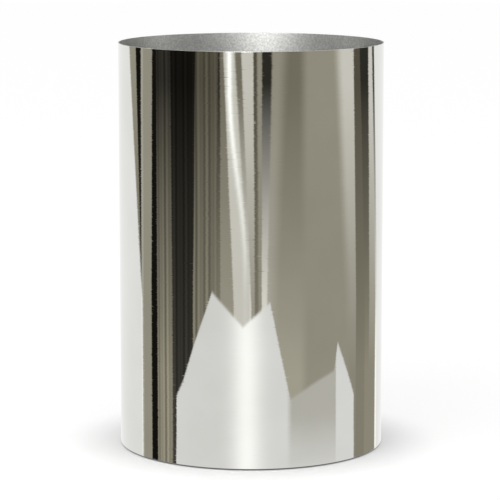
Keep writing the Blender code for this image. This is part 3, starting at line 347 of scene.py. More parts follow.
def polished_stainless():
    """Rolled stainless sheet, buffed to a mirror: it shows the room, drawn out a little round the can by
    hairlines from the buffing wheel, and wavering where the sheet is not quite true."""
    made, tree, shader, place = surface("stainless_mirror_buffed", Metallic=1.0)
    around = add(tree, "Mapping", {"Vector": place, "Scale": (1.0, 1.0, 40.0)})
    hairlines = add(tree, "TexNoise", {"Vector": around, "Scale": 75.0, "Detail": 3.0, "Roughness": 0.65})
    smears = add(tree, "TexNoise", {"Vector": place, "Scale": 9.0, "Detail": 4.0, "Roughness": 0.62})
    tones = [(0.3, "#D6D5D1"), (0.6, MIRROR_TINT), (0.8, "#E0DFDC")]
    tint = add(tree, "ValToRGB", {"Fac": smears}, stops=tones)
    rough = add(tree, "ValToRGB", {"Fac": hairlines}, stops=[(0.35, 0.004), (0.62, 0.012), (0.75, 0.03)])
    rolling = add(tree, "Mapping", {"Vector": place, "Scale": (1.0, 1.0, 0.45)})
    waver = add(tree, "TexNoise", {"Vector": rolling, "Scale": 17.0, "Detail": 1.0, "Roughness": 0.4})
    bent = add(tree, "Bump", {"Height": waver, "Strength": 1.0, "Distance": 0.00022})
    # A hairline leans the surface sideways by HAIRLINE_LEAN times the cube of its noise less 0.5
    centred = add(tree, "Math", {0: hairlines, 1: 0.5}, operation="SUBTRACT")
    peaked = add(tree, "Math", {0: centred, 1: 3.0}, operation="POWER")
    lean = add(tree, "Math", {0: peaked, 1: HAIRLINE_LEAN}, operation="MULTIPLY")
    sideways = add(tree, "VectorMath", {0: place, 1: (0.0, 0.0, 1.0)}, operation="CROSS_PRODUCT")
    push = add(tree, "VectorMath", {0: sideways, "Scale": lean}, operation="SCALE")
    pushed = add(tree, "VectorMath", {0: bent, 1: push}, operation="ADD")
    brushed = add(tree, "VectorMath", {0: pushed}, operation="NORMALIZE")
    tree.links.new(tint, shader.inputs["Base Color"])
    tree.links.new(rough, shader.inputs["Roughness"])
    tree.links.new(brushed, shader.inputs["Normal"])
    return made


def mill_stainless():
    """The sheet's inner face as the rolling mill left it: dull, with fine lines across the sheet."""
    made, tree, shader, place = surface("stainless_mill_finish", Metallic=1.0)
    along = add(tree, "Mapping", {"Vector": place, "Scale": (60.0, 60.0, 2.0)})
    lines = add(tree, "TexNoise", {"Vector": along, "Scale": 22.0, "Detail": 4.0, "Roughness": 0.7})
    clouds = add(tree, "TexNoise", {"Vector": place, "Scale": 700.0, "Detail": 3.0})
    tint = add(tree, "ValToRGB", {"Fac": clouds}, stops=[(0.35, "#A3A3A1"), (0.7, "#C2C2C0")])
    rough = add(tree, "ValToRGB", {"Fac": lines}, stops=[(0.3, 0.34), (0.7, 0.46)])
    grooves = add(tree, "Bump", {"Height": lines, "Strength": 0.4, "Distance": 0.00002})
    tree.links.new(tint, shader.inputs["Base Color"])
    tree.links.new(rough, shader.inputs["Roughness"])
    tree.links.new(grooves, shader.inputs["Normal"])
    return made


def cut_stainless():
    """The sheet's cut edge, deburred by hand: bright, with short scratches across it."""
    made, tree, shader, place = surface("stainless_cut_edge", Metallic=1.0)
    nicks = add(tree, "TexNoise", {"Vector": place, "Scale": 900.0, "Detail": 3.0, "Roughness": 0.7})
    tint = add(tree, "ValToRGB", {"Fac": nicks}, stops=[(0.3, "#B9B8B4"), (0.7, "#E2E1DE")])
    rough = add(tree, "ValToRGB", {"Fac": nicks}, stops=[(0.3, 0.18), (0.7, 0.34)])
    tree.links.new(tint, shader.inputs["Base Color"])
    tree.links.new(rough, shader.inputs["Roughness"])
    return made


# ---------------------------------------------------------------- what the other pieces are made of
def worked(name, scale, tones, rough, depth=0.0, stretch=(1.0, 1.0, 1.0), **constants):
    """A material whose colour, roughness and relief come from one noise: its lows take the first tone and
    roughness, its highs the second, and the relief is that many metres deep. Stretch draws it out."""
    made, tree, shader, place = surface(name, **constants)
    lie = add(tree, "Mapping", {"Vector": place, "Scale": stretch})
    noise = add(tree, "TexNoise", {"Vector": lie, "Scale": scale, "Detail": 4.0, "Roughness": 0.6})
    colour = add(tree, "ValToRGB", {"Fac": noise}, stops=[(0.32, tones[0]), (0.68, tones[1])])
    dull = add(tree, "ValToRGB", {"Fac": noise}, stops=[(0.32, rough[0]), (0.68, rough[1])])
    tree.links.new(colour, shader.inputs["Base Color"])
    tree.links.new(dull, shader.inputs["Roughness"])
    if depth:
        relief = add(tree, "Bump", {"Height": noise, "Strength": 1.0, "Distance": depth})
        tree.links.new(relief, shader.inputs["Normal"])
    return made, tree, shader, place


def overlaid(tree, shader, socket, mask, value):
    """Lays a second colour or value over what a socket already takes, as far as the mask says."""
    under = shader.inputs[socket].links[0].from_socket
    if isinstance(value, str):
        over = add(tree, "Mix", {0: mask, 6: under, 7: value}, 2, data_type="RGBA")
    else:
        over = add(tree, "Mix", {0: mask, 2: under, 3: value}, 0)
    tree.links.new(over, shader.inputs[socket])


def patches(tree, place, scale, low, high, stretch=(1.0, 1.0, 1.0)):
    """A mask of soft-edged patches: 0 where a noise is under low, 1 where it is over high."""
    lie = add(tree, "Mapping", {"Vector": place, "Scale": stretch})
    noise = add(tree, "TexNoise", {"Vector": lie, "Scale": scale, "Detail": 3.0})
    return add(tree, "MapRange", {"Value": noise, "From Min": low, "From Max": high})


def below(tree, value, low, high):
    """A mask: 1 where a value is under low, 0 where it is over high."""
    span = {"Value": value, "From Min": low, "From Max": high, "To Min": 1.0, "To Max": 0.0}
    return add(tree, "MapRange", span)


def moulded_epdm():
    """Black EPDM rubber from a mould: fine matt grain, with a greyer bloom in patches."""
    made, tree, shader, place = worked("rubber_epdm_moulded", 1400, ("#131313", "#1E1E1D"), (0.56, 0.74), 2e-5)
    overlaid(tree, shader, "Base Color", patches(tree, place, 70, 0.52, 0.8), "#2E2E2C")
    return made


def zinc_plated():
    """Steel plated with zinc and blue passivate: bright and slightly cloudy, with faint yellow patches."""
    made, tree, shader, place = worked("steel_zinc_plated", 260, ("#A6A9A6", "#C8CAC8"), (0.2, 0.36), 4e-6,
                                       Metallic=1.0)
    overlaid(tree, shader, "Base Color", patches(tree, place, 90, 0.5, 0.8), "#BFB893")
    overlaid(tree, shader, "Roughness", patches(tree, place, 700, 0.62, 0.7, (1, 1, 0.1)), 0.5)
    return made


def printed_ink():
    """White two-part ink, pad printed on plastic: slightly grainy, and thin where it wore."""
    made, tree, shader, place = worked("ink_white_pad_printed", 3000, ("#B9B9B4", "#D9D9D5"), (0.5, 0.66))
    overlaid(tree, shader, "Base Color", patches(tree, place, 900, 0.62, 0.72), "#8C8C88")
    return made


def powder_coated():
    """Black polyester powder baked on steel: orange peel about half a millimetre wide, with rubbed patches."""
    made, tree, shader, place = worked("steel_powder_coated_black", 2000, ("#0F0F10", "#171718"), (0.4, 0.54),
                                       4e-5)
    overlaid(tree, shader, "Roughness", patches(tree, place, 45, 0.5, 0.72), 0.3)
    overlaid(tree, shader, "Base Color", patches(tree, place, 800, 0.7, 0.78), "#2A2A2B")
    return made


def painted_casting():
    """A pressure die casting under black paint: the skin's slow waves and pits show through."""
    made, tree, shader, place = worked("zinc_alloy_cast_painted", 600, ("#111112", "#1B1B1D"), (0.36, 0.5), 6e-5)
    overlaid(tree, shader, "Base Color", patches(tree, place, 120, 0.56, 0.75), "#242426")
    return made


def turned_aluminium():
    """Aluminium turned on a lathe and clear anodised: rings a third of a millimetre apart round its axis."""
    made, tree, shader, place = worked("aluminium_turned_anodised", 60, ("#A2A5A7", "#B5B8BA"), (0.22, 0.32),
                                       Metallic=1.0)
    rings = add(tree, "TexWave", {"Vector": place, "Scale": 950.0, "Distortion": 1.2, "Detail": 2.0},
                wave_type="RINGS", rings_direction="Z")
    relief = add(tree, "Bump", {"Height": rings, "Strength": 0.7, "Distance": 5e-6})
    tree.links.new(relief, shader.inputs["Normal"])
    overlaid(tree, shader, "Roughness", rings, 0.36)
    return made


def extruded_aluminium():
    """Extruded aluminium fins, clear anodised: die lines run along them, with cloudy patches of oxide."""
    made, tree, shader, place = worked("aluminium_extruded_anodised", 900, ("#9DA0A2", "#B2B5B6"), (0.3, 0.44),
                                       8e-6, (1.0, 0.02, 1.0), Metallic=1.0)
    overlaid(tree, shader, "Base Color", patches(tree, place, 60, 0.5, 0.8), "#8E9193")
    return made


def white_solder_mask():
    """White solder mask on an aluminium-core board: the copper areas under it stand a little proud."""
    made, tree, shader, place = worked("board_white_solder_mask", 500, ("#E4E3DC", "#F0EFEA"), (0.3, 0.42), 5e-6)
    cells = add(tree, "TexVoronoi", {"Vector": place, "Scale": 85.0}, "Distance", feature="DISTANCE_TO_EDGE")
    gap = below(tree, cells, 0.03, 0.05)
    overlaid(tree, shader, "Base Color", gap, "#CFCEC2")
    return made


def led_phosphor():
    """Yellow phosphor in clear silicone, cast over the chips of an LED."""
    made, tree, shader, place = worked("led_phosphor_silicone", 5200, ("#DDAE33", "#EFCF6C"), (0.18, 0.3), 1e-5,
                                       Coat_Weight=0.6, Coat_Roughness=0.08)
    overlaid(tree, shader, "Base Color", patches(tree, place, 800, 0.5, 0.75), "#F2DD92")
    return made


def moulded_acrylic():
    """Clear PMMA from a polished mould: faint flow lines run out from the gate."""
    made, tree, shader, place = worked("acrylic_clear_moulded", 60, ("#F3F8F7", "#FFFFFF"), (0.015, 0.06), 2e-5,
                                       (1.0, 1.0, 0.3), Transmission_Weight=1.0, IOR=1.49)
    overlaid(tree, shader, "Roughness", patches(tree, place, 900, 0.66, 0.75), 0.12)
    return made


def toughened_glass():
    """Toughened soda-lime glass: a faint green tint, wiped clean but for thin smears."""
    made, tree, shader, place = worked("glass_toughened", 25, ("#EEF6F2", "#F8FCFA"), (0.0, 0.02),
                                       Transmission_Weight=1.0, IOR=1.52)
    overlaid(tree, shader, "Roughness", patches(tree, place, 30, 0.6, 0.8, (1, 4, 1)), 0.07)
    return made


def moulded_silicone():
    """Grey silicone rubber: soft sheen, with dust held in patches."""
    made, tree, shader, place = worked("silicone_grey_moulded", 900, ("#626466", "#727476"), (0.48, 0.62), 1e-5)
    overlaid(tree, shader, "Base Color", patches(tree, place, 300, 0.6, 0.75), "#85868A")
    return made


def nickel_on_brass():
    """Nickel plate on turned brass: warm and bright, worn towards the brass in small spots."""
    made, tree, shader, place = worked("brass_nickel_plated", 300, ("#BAB6A9", "#D0CCC1"), (0.14, 0.26), 3e-6,
                                       Metallic=1.0)
    overlaid(tree, shader, "Base Color", patches(tree, place, 500, 0.64, 0.75), "#C0A66C")
    return made


def nickel_on_magnet():
    """Nickel plate on a sintered magnet: mirror bright, over a slightly pitted body."""
    made, tree, shader, place = worked("magnet_nickel_plated", 700, ("#B6B8BA", "#D3D5D6"), (0.08, 0.2), 6e-6,
                                       Metallic=1.0)
    overlaid(tree, shader, "Roughness", patches(tree, place, 1500, 0.6, 0.7), 0.4)
    return made


def brushed_steel():
    """Steel strip brushed along its length, with a few deeper scratches."""
    made, tree, shader, place = worked("steel_brushed", 1500, ("#A9AAA7", "#C0C1BE"), (0.28, 0.44), 6e-6,
                                       (0.02, 1.0, 1.0), Metallic=1.0)
    overlaid(tree, shader, "Base Color", patches(tree, place, 400, 0.66, 0.72, (0.05, 1, 1)), "#80817F")
    return made


def spark_textured_abs():
    """Black ABS from a spark-eroded mould: an even matt grain a third of a millimetre wide."""
    made, tree, shader, place = worked("abs_black_spark_texture", 3200, ("#0F0F10", "#181819"), (0.46, 0.6), 3e-5)
    overlaid(tree, shader, "Roughness", patches(tree, place, 80, 0.55, 0.75), 0.38)
    return made


def glass_filled_nylon():
    """Black nylon with short glass fibres: grey streaks of fibre swirl in its skin."""
    made, tree, shader, place = worked("nylon_glass_filled_black", 300, ("#111111", "#1A1A1A"), (0.36, 0.5), 1e-5)
    overlaid(tree, shader, "Base Color", patches(tree, place, 900, 0.6, 0.74, (1, 0.15, 0.15)), "#303030")
    return made


def glossy_polycarbonate():
    """Black polycarbonate from a polished mould: glossy, with hair-thin scratches from fingertips."""
    made, tree, shader, place = worked("polycarbonate_black_gloss", 90, ("#0B0B0C", "#121213"), (0.12, 0.2), 4e-6)
    overlaid(tree, shader, "Roughness", patches(tree, place, 1800, 0.62, 0.7, (0.1, 1, 1)), 0.34)
    return made


def shrunk_pvc():
    """Blue PVC film shrunk on with hot air: glossy, with small puckers drawn round the cells."""
    made, tree, shader, place = worked("pvc_shrink_wrap_blue", 75, ("#173B73", "#22508F"), (0.16, 0.34), 2e-4,
                                       (1.0, 1.0, 0.25))
    overlaid(tree, shader, "Base Color", patches(tree, place, 500, 0.6, 0.72, (1, 1, 0.2)), "#33619E")
    return made


def green_solder_mask(name, turn):
    """Green solder mask on FR4: paler lines where copper tracks run under it, and tinned holes. The turn
    lays the pattern's own plane on the board."""
    made, tree, shader, place = worked(name, 700, ("#0D4024", "#13502E"), (0.26, 0.4), 5e-6)
    flat = add(tree, "Mapping", {"Vector": place, "Rotation": (turn, 0.0, 0.0)})
    tracks = add(tree, "TexBrick", {"Vector": flat, "Scale": 260.0, "Mortar Size": 0.07, "Mortar Smooth": 0.1,
                                    "Brick Width": 2.3, "Row Height": 0.5}, "Fac")
    kept = add(tree, "Math", {0: tracks, 1: patches(tree, flat, 75, 0.46, 0.48)}, operation="MULTIPLY")
    overlaid(tree, shader, "Base Color", kept, "#2C7C4E")
    holes = add(tree, "TexVoronoi", {"Vector": flat, "Scale": 190.0}, "Distance")
    rim = below(tree, holes, 0.12, 0.15)
    overlaid(tree, shader, "Base Color", rim, "#C9C7BC")
    return made


def extruded_pvc_jacket():
    """Black PVC extruded over a lead: soft sheen, with faint lengthwise drag and dust."""
    made, tree, shader, place = worked("pvc_black_jacket", 420, ("#0F0F0F", "#191919"), (0.34, 0.5), 1e-5)
    overlaid(tree, shader, "Base Color", patches(tree, place, 900, 0.62, 0.74), "#2B2B2A")
    return made


def smoked_acrylic():
    """Smoked acrylic: dark and polished, with fine wiping scratches."""
    made, tree, shader, place = worked("acrylic_smoked", 60, ("#0C1013", "#12171B"), (0.03, 0.07),
                                       Transmission_Weight=0.35, IOR=1.49)
    overlaid(tree, shader, "Roughness", patches(tree, place, 1600, 0.62, 0.7, (0.08, 1, 1)), 0.2)
    return made


def capacitor_sleeve():
    """Dark PVC sleeve shrunk on a capacitor's can: a soft gloss, and tight wrinkles near its ends."""
    made, tree, shader, place = worked("pvc_capacitor_sleeve", 900, ("#14202E", "#1B2A3A"), (0.24, 0.36), 1e-5)
    overlaid(tree, shader, "Base Color", patches(tree, place, 260, 0.6, 0.75), "#263A4E")
    return made


def copper_winding():
    """Enamelled copper wire wound round a core: turns two thirds of a millimetre apart up its axis."""
    made, tree, shader, place = worked("copper_enamelled_winding", 400, ("#7A3C18", "#A55A29"), (0.22, 0.36),
                                       Metallic=0.85)
    turns = add(tree, "TexWave", {"Vector": place, "Scale": 480.0, "Distortion": 0.4}, bands_direction="Z")
    relief = add(tree, "Bump", {"Height": turns, "Strength": 1.0, "Distance": 1.5e-4})
    tree.links.new(relief, shader.inputs["Normal"])
    return made


def moulded_epoxy():
    """Black epoxy moulded round a chip: an even satin grain."""
    made, tree, shader, place = worked("epoxy_moulded_black", 2600, ("#131313", "#1C1C1C"), (0.46, 0.6), 1e-5)
    overlaid(tree, shader, "Roughness", patches(tree, place, 300, 0.55, 0.7), 0.4)
    return made


def natural_nylon():
    """Undyed nylon of a plug and its header: milky, with a trace of yellow."""
    made, tree, shader, place = worked("nylon_natural_moulded", 700, ("#D3CFBF", "#E2DED1"), (0.34, 0.46), 5e-6,
                                       Subsurface_Weight=0.2, Subsurface_Scale=0.001)
    overlaid(tree, shader, "Base Color", patches(tree, place, 200, 0.55, 0.8), "#C9C2A8")
    return made


# ================================================================ the can
CAN_COLUMNS = 480
CUTOUT_COLUMNS = 48


def can_shell():
    """The can's wall. Row by row, points run anticlockwise from the cut-out's one side round the front to
    its other side, at (R cos t, R sin t, z), and on across the cut-out, whose half width at height z is w,
    or w - c + sqrt(c^2 - (z - top + c)^2) beside its arched corners. Cells inside the cut-out are left out."""
    straight = CUTOUT_TOP - CUTOUT_CORNER
    arch = straight + CUTOUT_CORNER * np.sin(np.linspace(0, math.pi / 2, 10))
    above = np.linspace(CUTOUT_TOP, CAN_HIGH[2], 30)[1:]
    heights = np.concatenate([np.linspace(CAN_LOW[2], straight, 6)[:-1], arch, above])
    over = np.clip(heights - straight, 0, CUTOUT_CORNER)
    half = CUTOUT_HALF - CUTOUT_CORNER + np.sqrt(CUTOUT_CORNER**2 - over**2)
    edge = np.arcsin(half / CAN_RADIUS)[:, None]
    start, full = math.pi / 2 + edge, math.tau - 2 * edge
    share = np.linspace(0, 1, CAN_COLUMNS + 1)[None]
    across = np.linspace(0, 1, CUTOUT_COLUMNS + 1)[None, 1:-1]
    t = np.concatenate([start + full * share, start + full + 2 * edge * across], 1)
    z = np.broadcast_to(heights[:, None], t.shape)
    points = np.stack([CAN_RADIUS * np.cos(t), CAN_RADIUS * np.sin(t), z], -1)
    inside = [(r, c) for r in range(4 + len(arch)) for c in range(CAN_COLUMNS, t.shape[1])]
    shape = grid(points, missing=inside)
    used = np.zeros(len(shape[0]), bool)
    used[np.unique(np.array(shape[1]))] = True
    number = np.cumsum(used) - 1
    shape = shape[0][used], number[np.array(shape[1])].tolist()
    materials = [polished_stainless(), mill_stainless(), cut_stainless()]
    made = piece("can_shell", shape, materials, "can", "polished_can", sharp=60)
    wall = made.modifiers.new("wall", "SOLIDIFY")
    wall.thickness = CAN_WALL
    wall.offset = -1
    wall.use_even_offset = True
    wall.material_offset = 1
    wall.material_offset_rim = 2
    bevel(made, 0.00010, 2, 50)


# ================================================================ inside the can
EPDM, ZINC, POWDER, CASTING = moulded_epdm(), zinc_plated(), powder_coated(), painted_casting()
TURNED, EXTRUDED = turned_aluminium(), extruded_aluminium()
NICKEL, MAGNET = nickel_on_brass(), nickel_on_magnet()
ABS, NYLON, GLOSS, PLUG = spark_textured_abs(), glass_filled_nylon(), glossy_polycarbonate(), natural_nylon()
GREEN = green_solder_mask("board_green_mask", 0.0)
GREEN_UPRIGHT = green_solder_mask("board_green_upright", math.pi / 2)
EPOXY, JACKET, GLASS, ACRYLIC = moulded_epoxy(), extruded_pvc_jacket(), toughened_glass(), moulded_acrylic()
WINDING, SLEEVE, SEGMENT, WHITE_MASK = copper_winding(), capacitor_sleeve(), natural_nylon(), white_solder_mask()

BOARD_THICKNESS = 0.0016
DRIVER_LOW = extent("driver_board")[0]
DRIVER_MIDDLE = (0.0, -0.005)
DRIVER_TOP = DRIVER_LOW[2] + BOARD_THICKNESS
PANEL_FRONT = extent("control_panel")[1][1]
THREAD_PITCH = 0.0005


def carried_over():
    """Pieces whose own CAD shape is right once its edges are rounded: each node with its material and slot."""
    for node, material, body, slot, edge in (
        ("base_pan", POWDER, "base", "black_powder_coat", 0.0005),
        ("tilt_arm_left", POWDER, "base", "black_powder_coat", 0.0006),
        ("tilt_arm_right", POWDER, "base", "black_powder_coat", 0.0006),
        ("battery_bridge", brushed_steel(), "base", "satin_steel", 0.0002),
        ("control_panel", ABS, "base", "black_plastic", 0.0003),
        ("rocker_frame", ABS, "base", "black_plastic", 0.0003),
        ("display_window", smoked_acrylic(), "base", "smoked_window", 0.0002),
        ("power_rocker", GLOSS, "rocker", "black_plastic", 0.0004),
        ("heat_sink", EXTRUDED, "head", "anodised_silver", 0.0003),
        ("cutout_trim", EPDM, "can", "black_rubber", 0.0005),
        ("rest_bracket_1", ZINC, "can", "zinc_steel", 0.0003),
        ("rest_bracket_2", ZINC, "can", "zinc_steel", 0.0003),
        ("rest_bracket_3", ZINC, "can", "zinc_steel", 0.0003),
    ):
        merged(node, node + "_finished", material, body, edge)


def hexagon(t):
    """A hexagon's radius at angle t as a share of its corners': cos 30 / cos(t mod 60 - 30), in degrees."""
    return math.cos(math.pi / 6) / np.cos(np.mod(t, math.pi / 3) - math.pi / 6)


def thread_rows(radius, low, high):
    """A thread's outline: its radius falls by a seventh and rises again along each pitch, in five steps."""
    return [(radius * (1 - 0.07 * (1 + math.cos(math.tau * z / THREAD_PITCH))), z)
            for z in np.arange(low, high, THREAD_PITCH / 5)]


def screw(node, body, facing="up"):
    """A socket cap screw: a round head with a hexagon socket, and a threaded shank."""
    low, high = extent(node)
    head = (high - low)[0] / 2
    shank, cap = (0.00125, 0.0018) if head < 0.0028 else (0.0018, 0.0024)
    length = (high - low)[2] - cap
    thread = thread_rows(shank, 0.0005 - length, -0.0004)
    rounds = [(0, -length), (shank * 0.8, -length), *thread, (shank, -0.0002), (shank, 0), (head * 0.96, 0),
              (head, 0.0001), (head, cap * 0.84), (head * 0.97, cap * 0.94), (head * 0.9, cap), (head * 0.62, cap)]
    socket = [(head * 0.52, cap), (head * 0.46, cap * 0.92), (head * 0.46, cap * 0.5), (0, cap * 0.42)]
    share = [0.0] * len(rounds) + [1.0] * len(socket)
    shape = turned(rounds + socket, 48, outline=hexagon, share=share)
    seat = high[2] - cap if facing == "up" else low[2] + cap
    at = (*middle(node)[:2], seat)
    piece(node + "_threaded", moved(shape, at, facing), ZINC, body, node)


def feet_and_magnets():
    """Moulded feet, hollow round their screws, and the magnets under the pan's lip."""
    for number in range(1, 5):
        node = f"foot_{number}"
        high = extent(node)[1][2]
        ring = [(0.0055, 0), (0.009, 0), (0.011, high), (0.0021, high), (0.0021, 0.005), (0.0055, 0.005)]
        ring = rounded(ring, 0.0007, 4, closed=True)
        at = (*middle(node)[:2], 0)
        piece(node + "_moulded", moved(turned(ring, 64, closed=True), at), EPDM, "base", node)
        screw(f"foot_screw_{number}", "base", "down")
        screw(f"arm_screw_{number}", "base")
    for number in (1, 2):
        screw(f"bridge_screw_{number}", "base")
    for number in (1, 2, 3):
        screw(f"bezel_screw_{number}", "head")
        node = f"catch_magnet_{number}"
        low, high = extent(node)
        disc = rounded([(0, low[2]), (0.003, low[2]), (0.003, high[2]), (0, high[2])], 0.0003, 4)
        at = (*middle(node)[:2], 0)
        piece(node + "_plated", moved(turned(disc, 48), at), MAGNET, "base", node)


def stepped(outline, step):
    """Points about a step apart round a closed outline."""
    line = np.concatenate([outline, outline[:1]])
    run = np.concatenate([[0], np.cumsum(np.linalg.norm(np.diff(line, axis=0), axis=1))])
    at = np.linspace(0, run[-1], math.ceil(run[-1] / step), endpoint=False)
    return np.stack([np.interp(at, run, line[:, i]) for i in (0, 1)], 1)


def battery_pack():
    """Twenty cells in a shrunk film. Its outline is a rounded rectangle that dips between two cells, by the
    dip times the eighth power of the cosine of half a turn per pitch, measured from the gap."""
    low, high = extent("battery_pack")
    pitch, dip, corner = 0.0186, 0.0016, 0.0085
    half = (high - low)[:2] / 2
    outline = stepped(rectangle(2 * half, (0, 0), corner, 10), 0.0009)
    x, y = outline.T
    side, front = np.abs(np.abs(x) - half[0]) < 1e-6, np.abs(np.abs(y) - half[1]) < 1e-6
    inward = np.zeros_like(outline)
    inward[:, 0] = -np.sign(x) * side * (np.abs(y) < 1.4 * pitch) * dip * np.cos(math.pi * y / pitch) ** 8
    inward[:, 1] = -np.sign(y) * front * (np.abs(x) < 1.9 * pitch) * dip * np.sin(math.pi * x / pitch) ** 8
    shape = moved(slab(outline + inward, low[2], high[2], 0.0018, 5), (*middle("battery_pack")[:2], 0))
    piece("battery_shrunk_film", shape, shrunk_pvc(), "base", "battery_pack", 50)


def stud_profile(radius, low, high):
    """A threaded stud, from the middle of its lower end to the middle of its upper end."""
    ridge = thread_rows(radius, low + 0.0003, high - 0.0003)
    return [(0, low), (radius * 0.8, low), *ridge, (radius * 0.75, high), (0, high)]


def block(size, centre, low, height, edge=0.0002):
    """A box with rounded edges, standing at a height."""
    return slab(rectangle(size, centre), low, low + height, edge, 2)


def driver_board():
    """The board with its coils, capacitors, chip, cooling bar, plugs and small parts, and its standoffs."""
    for number in range(1, 5):
        node = f"standoff_{number}"
        low, high = extent(node)
        post = slab(polygon(6, 0.0055 / 2 / math.cos(math.pi / 6)), low[2] + 0.0015, low[2] + 0.0095, 0.0003)
        stud = turned(stud_profile(0.0014, low[2], high[2]), 24)
        nut = slab(polygon(6, 0.0028, 0.3), DRIVER_TOP + 0.0001, DRIVER_TOP + 0.0016, 0.0003)
        at = (*middle(node)[:2], 0)
        piece(node + "_plated", moved(together([post, stud]), at), NICKEL, "base", node)
        piece(node + "_nut", moved(nut, at), ZINC, "base")
    board = slab(rectangle((0.066, 0.068), DRIVER_MIDDLE, 0.002), DRIVER_LOW[2], DRIVER_TOP, 0.0001)
    piece("driver_board_masked", board, GREEN, "base", "driver_board")

    top = DRIVER_TOP
    for number, x in enumerate((-0.012, 0.008), 1):
        r, h = 0.0075, 0.010
        ends = [turned(rounded([(0, a), (r, a), (r, b), (0, b)], 0.0004, 3), 64)
                for a, b in ((0, 0.0016), (h - 0.0016, h))]
        wound = turned([(r * 0.9, z) for z in np.linspace(0.0014, h - 0.0014, 12)], 64)
        place = (x, -0.016, top)
        piece(f"coil_{number}_ferrite", moved(together(ends), place), EPOXY, "base")
        piece(f"coil_{number}_winding", moved(wound, place), WINDING, "base")
    for number, x in enumerate((-0.014, -0.001), 1):
        r, h = 0.005, 0.014
        sleeve = [(0, 0), (r * 0.94, 0), (r, 0.0006), (r, 0.0016), (r * 0.93, 0.0022), (r * 0.93, 0.0026),
                  (r, 0.0032), (r, h - 0.0008), (r * 0.96, h - 0.0001), (r * 0.86, h), (r * 0.84, h - 0.0003)]
        lid = [(r * 0.85, h - 0.0004), (r * 0.8, h - 0.0003), (0, h - 0.0003)]
        place = (x, 0.006, top)
        sleeve = turned(rounded(sleeve, 0.0003, 3), 64)
        piece(f"capacitor_{number}_sleeve", moved(sleeve, place), SLEEVE, "base")
        scores = [moved(block(size, (0, 0), 0, 0.0001, 0.00004), (0, 0, h - 0.00035))
                  for size in ((r * 1.3, 0.0003), (0.0003, r * 1.3))]
        piece(f"capacitor_{number}_lid", moved(together([turned(lid, 64), *scores]), place), MAGNET, "base")
    chip = block((0.0104, 0.0104), (0, 0), 0.0004, 0.0026)
    piece("driver_chip", moved(chip, (0.013, 0.002, top)), EPOXY, "base")
    legs = [block((0.0003, 0.0120), (0.0008 * i, 0), 0, 0.0006, 0.00008) for i in range(-5, 6)]
    legs += [block((0.0120, 0.0003), (0, 0.0008 * i), 0, 0.0006, 0.00008) for i in range(-5, 6)]
    piece("driver_chip_legs", moved(together(legs), (0.013, 0.002, top)), NICKEL, "base")
    grooves = [block((0.0016, 0.004), (0.0026 * i, 0), 0.0095, 0.0025) for i in range(-4, 5)]
    bar = together([block((0.026, 0.004), (0, 0), 0, 0.0100), *grooves])
    piece("driver_cooling_bar", moved(bar, (0.0, 0.018, top)), EXTRUDED, "base")
    taken = [block((0.0045, 0.0011), (x, 0), 0.0004, 0.0048) for x in (-0.008, 0.0, 0.008)]
    piece("driver_transistors", moved(together(taken), (0.0, 0.0154, top)), EPOXY, "base")

    plugs = []
    for x, y, size in ((0.0295, 0.005, (0.009, 0.012)), (-0.0295, -0.015, (0.009, 0.012)),
                       (0.016, 0.0255, (0.012, 0.009))):
        header = block(size, (x, y), top, 0.0055, 0.0004)
        plug = block((size[0] - 0.0016, size[1] - 0.0016), (x, y), top + 0.0050, 0.0050, 0.0005)
        latch = block((0.003, 0.003), (x, y), top + 0.0098, 0.0002, 0.0001)
        plugs += [header, plug, latch]
    piece("driver_plugs", together(plugs), PLUG, "base")

    places = [(-0.026, 0.020), (-0.022, 0.020), (-0.018, 0.0245), (-0.022, 0.0245), (-0.026, -0.002),
              (-0.026, 0.002), (-0.026, 0.006), (0.021, -0.010), (0.025, -0.010), (0.025, -0.014),
              (0.021, -0.022), (0.025, -0.022), (0.004, -0.030), (0.000, -0.030), (-0.004, -0.030),
              (-0.020, -0.030), (0.0225, 0.015), (0.0265, 0.015), (-0.010, 0.0255), (-0.006, 0.0255)]
    bodies = [block((0.0013, 0.0013), place, top, 0.0006, 0.0001) for place in places]
    ends = [block((0.0004, 0.0013), (x + side * 0.00085, y), top, 0.0006, 0.0001)
            for x, y in places for side in (-1, 1)]
    piece("driver_resistors", together(bodies), EPOXY, "base")
    piece("driver_resistor_ends", together(ends), NICKEL, "base")


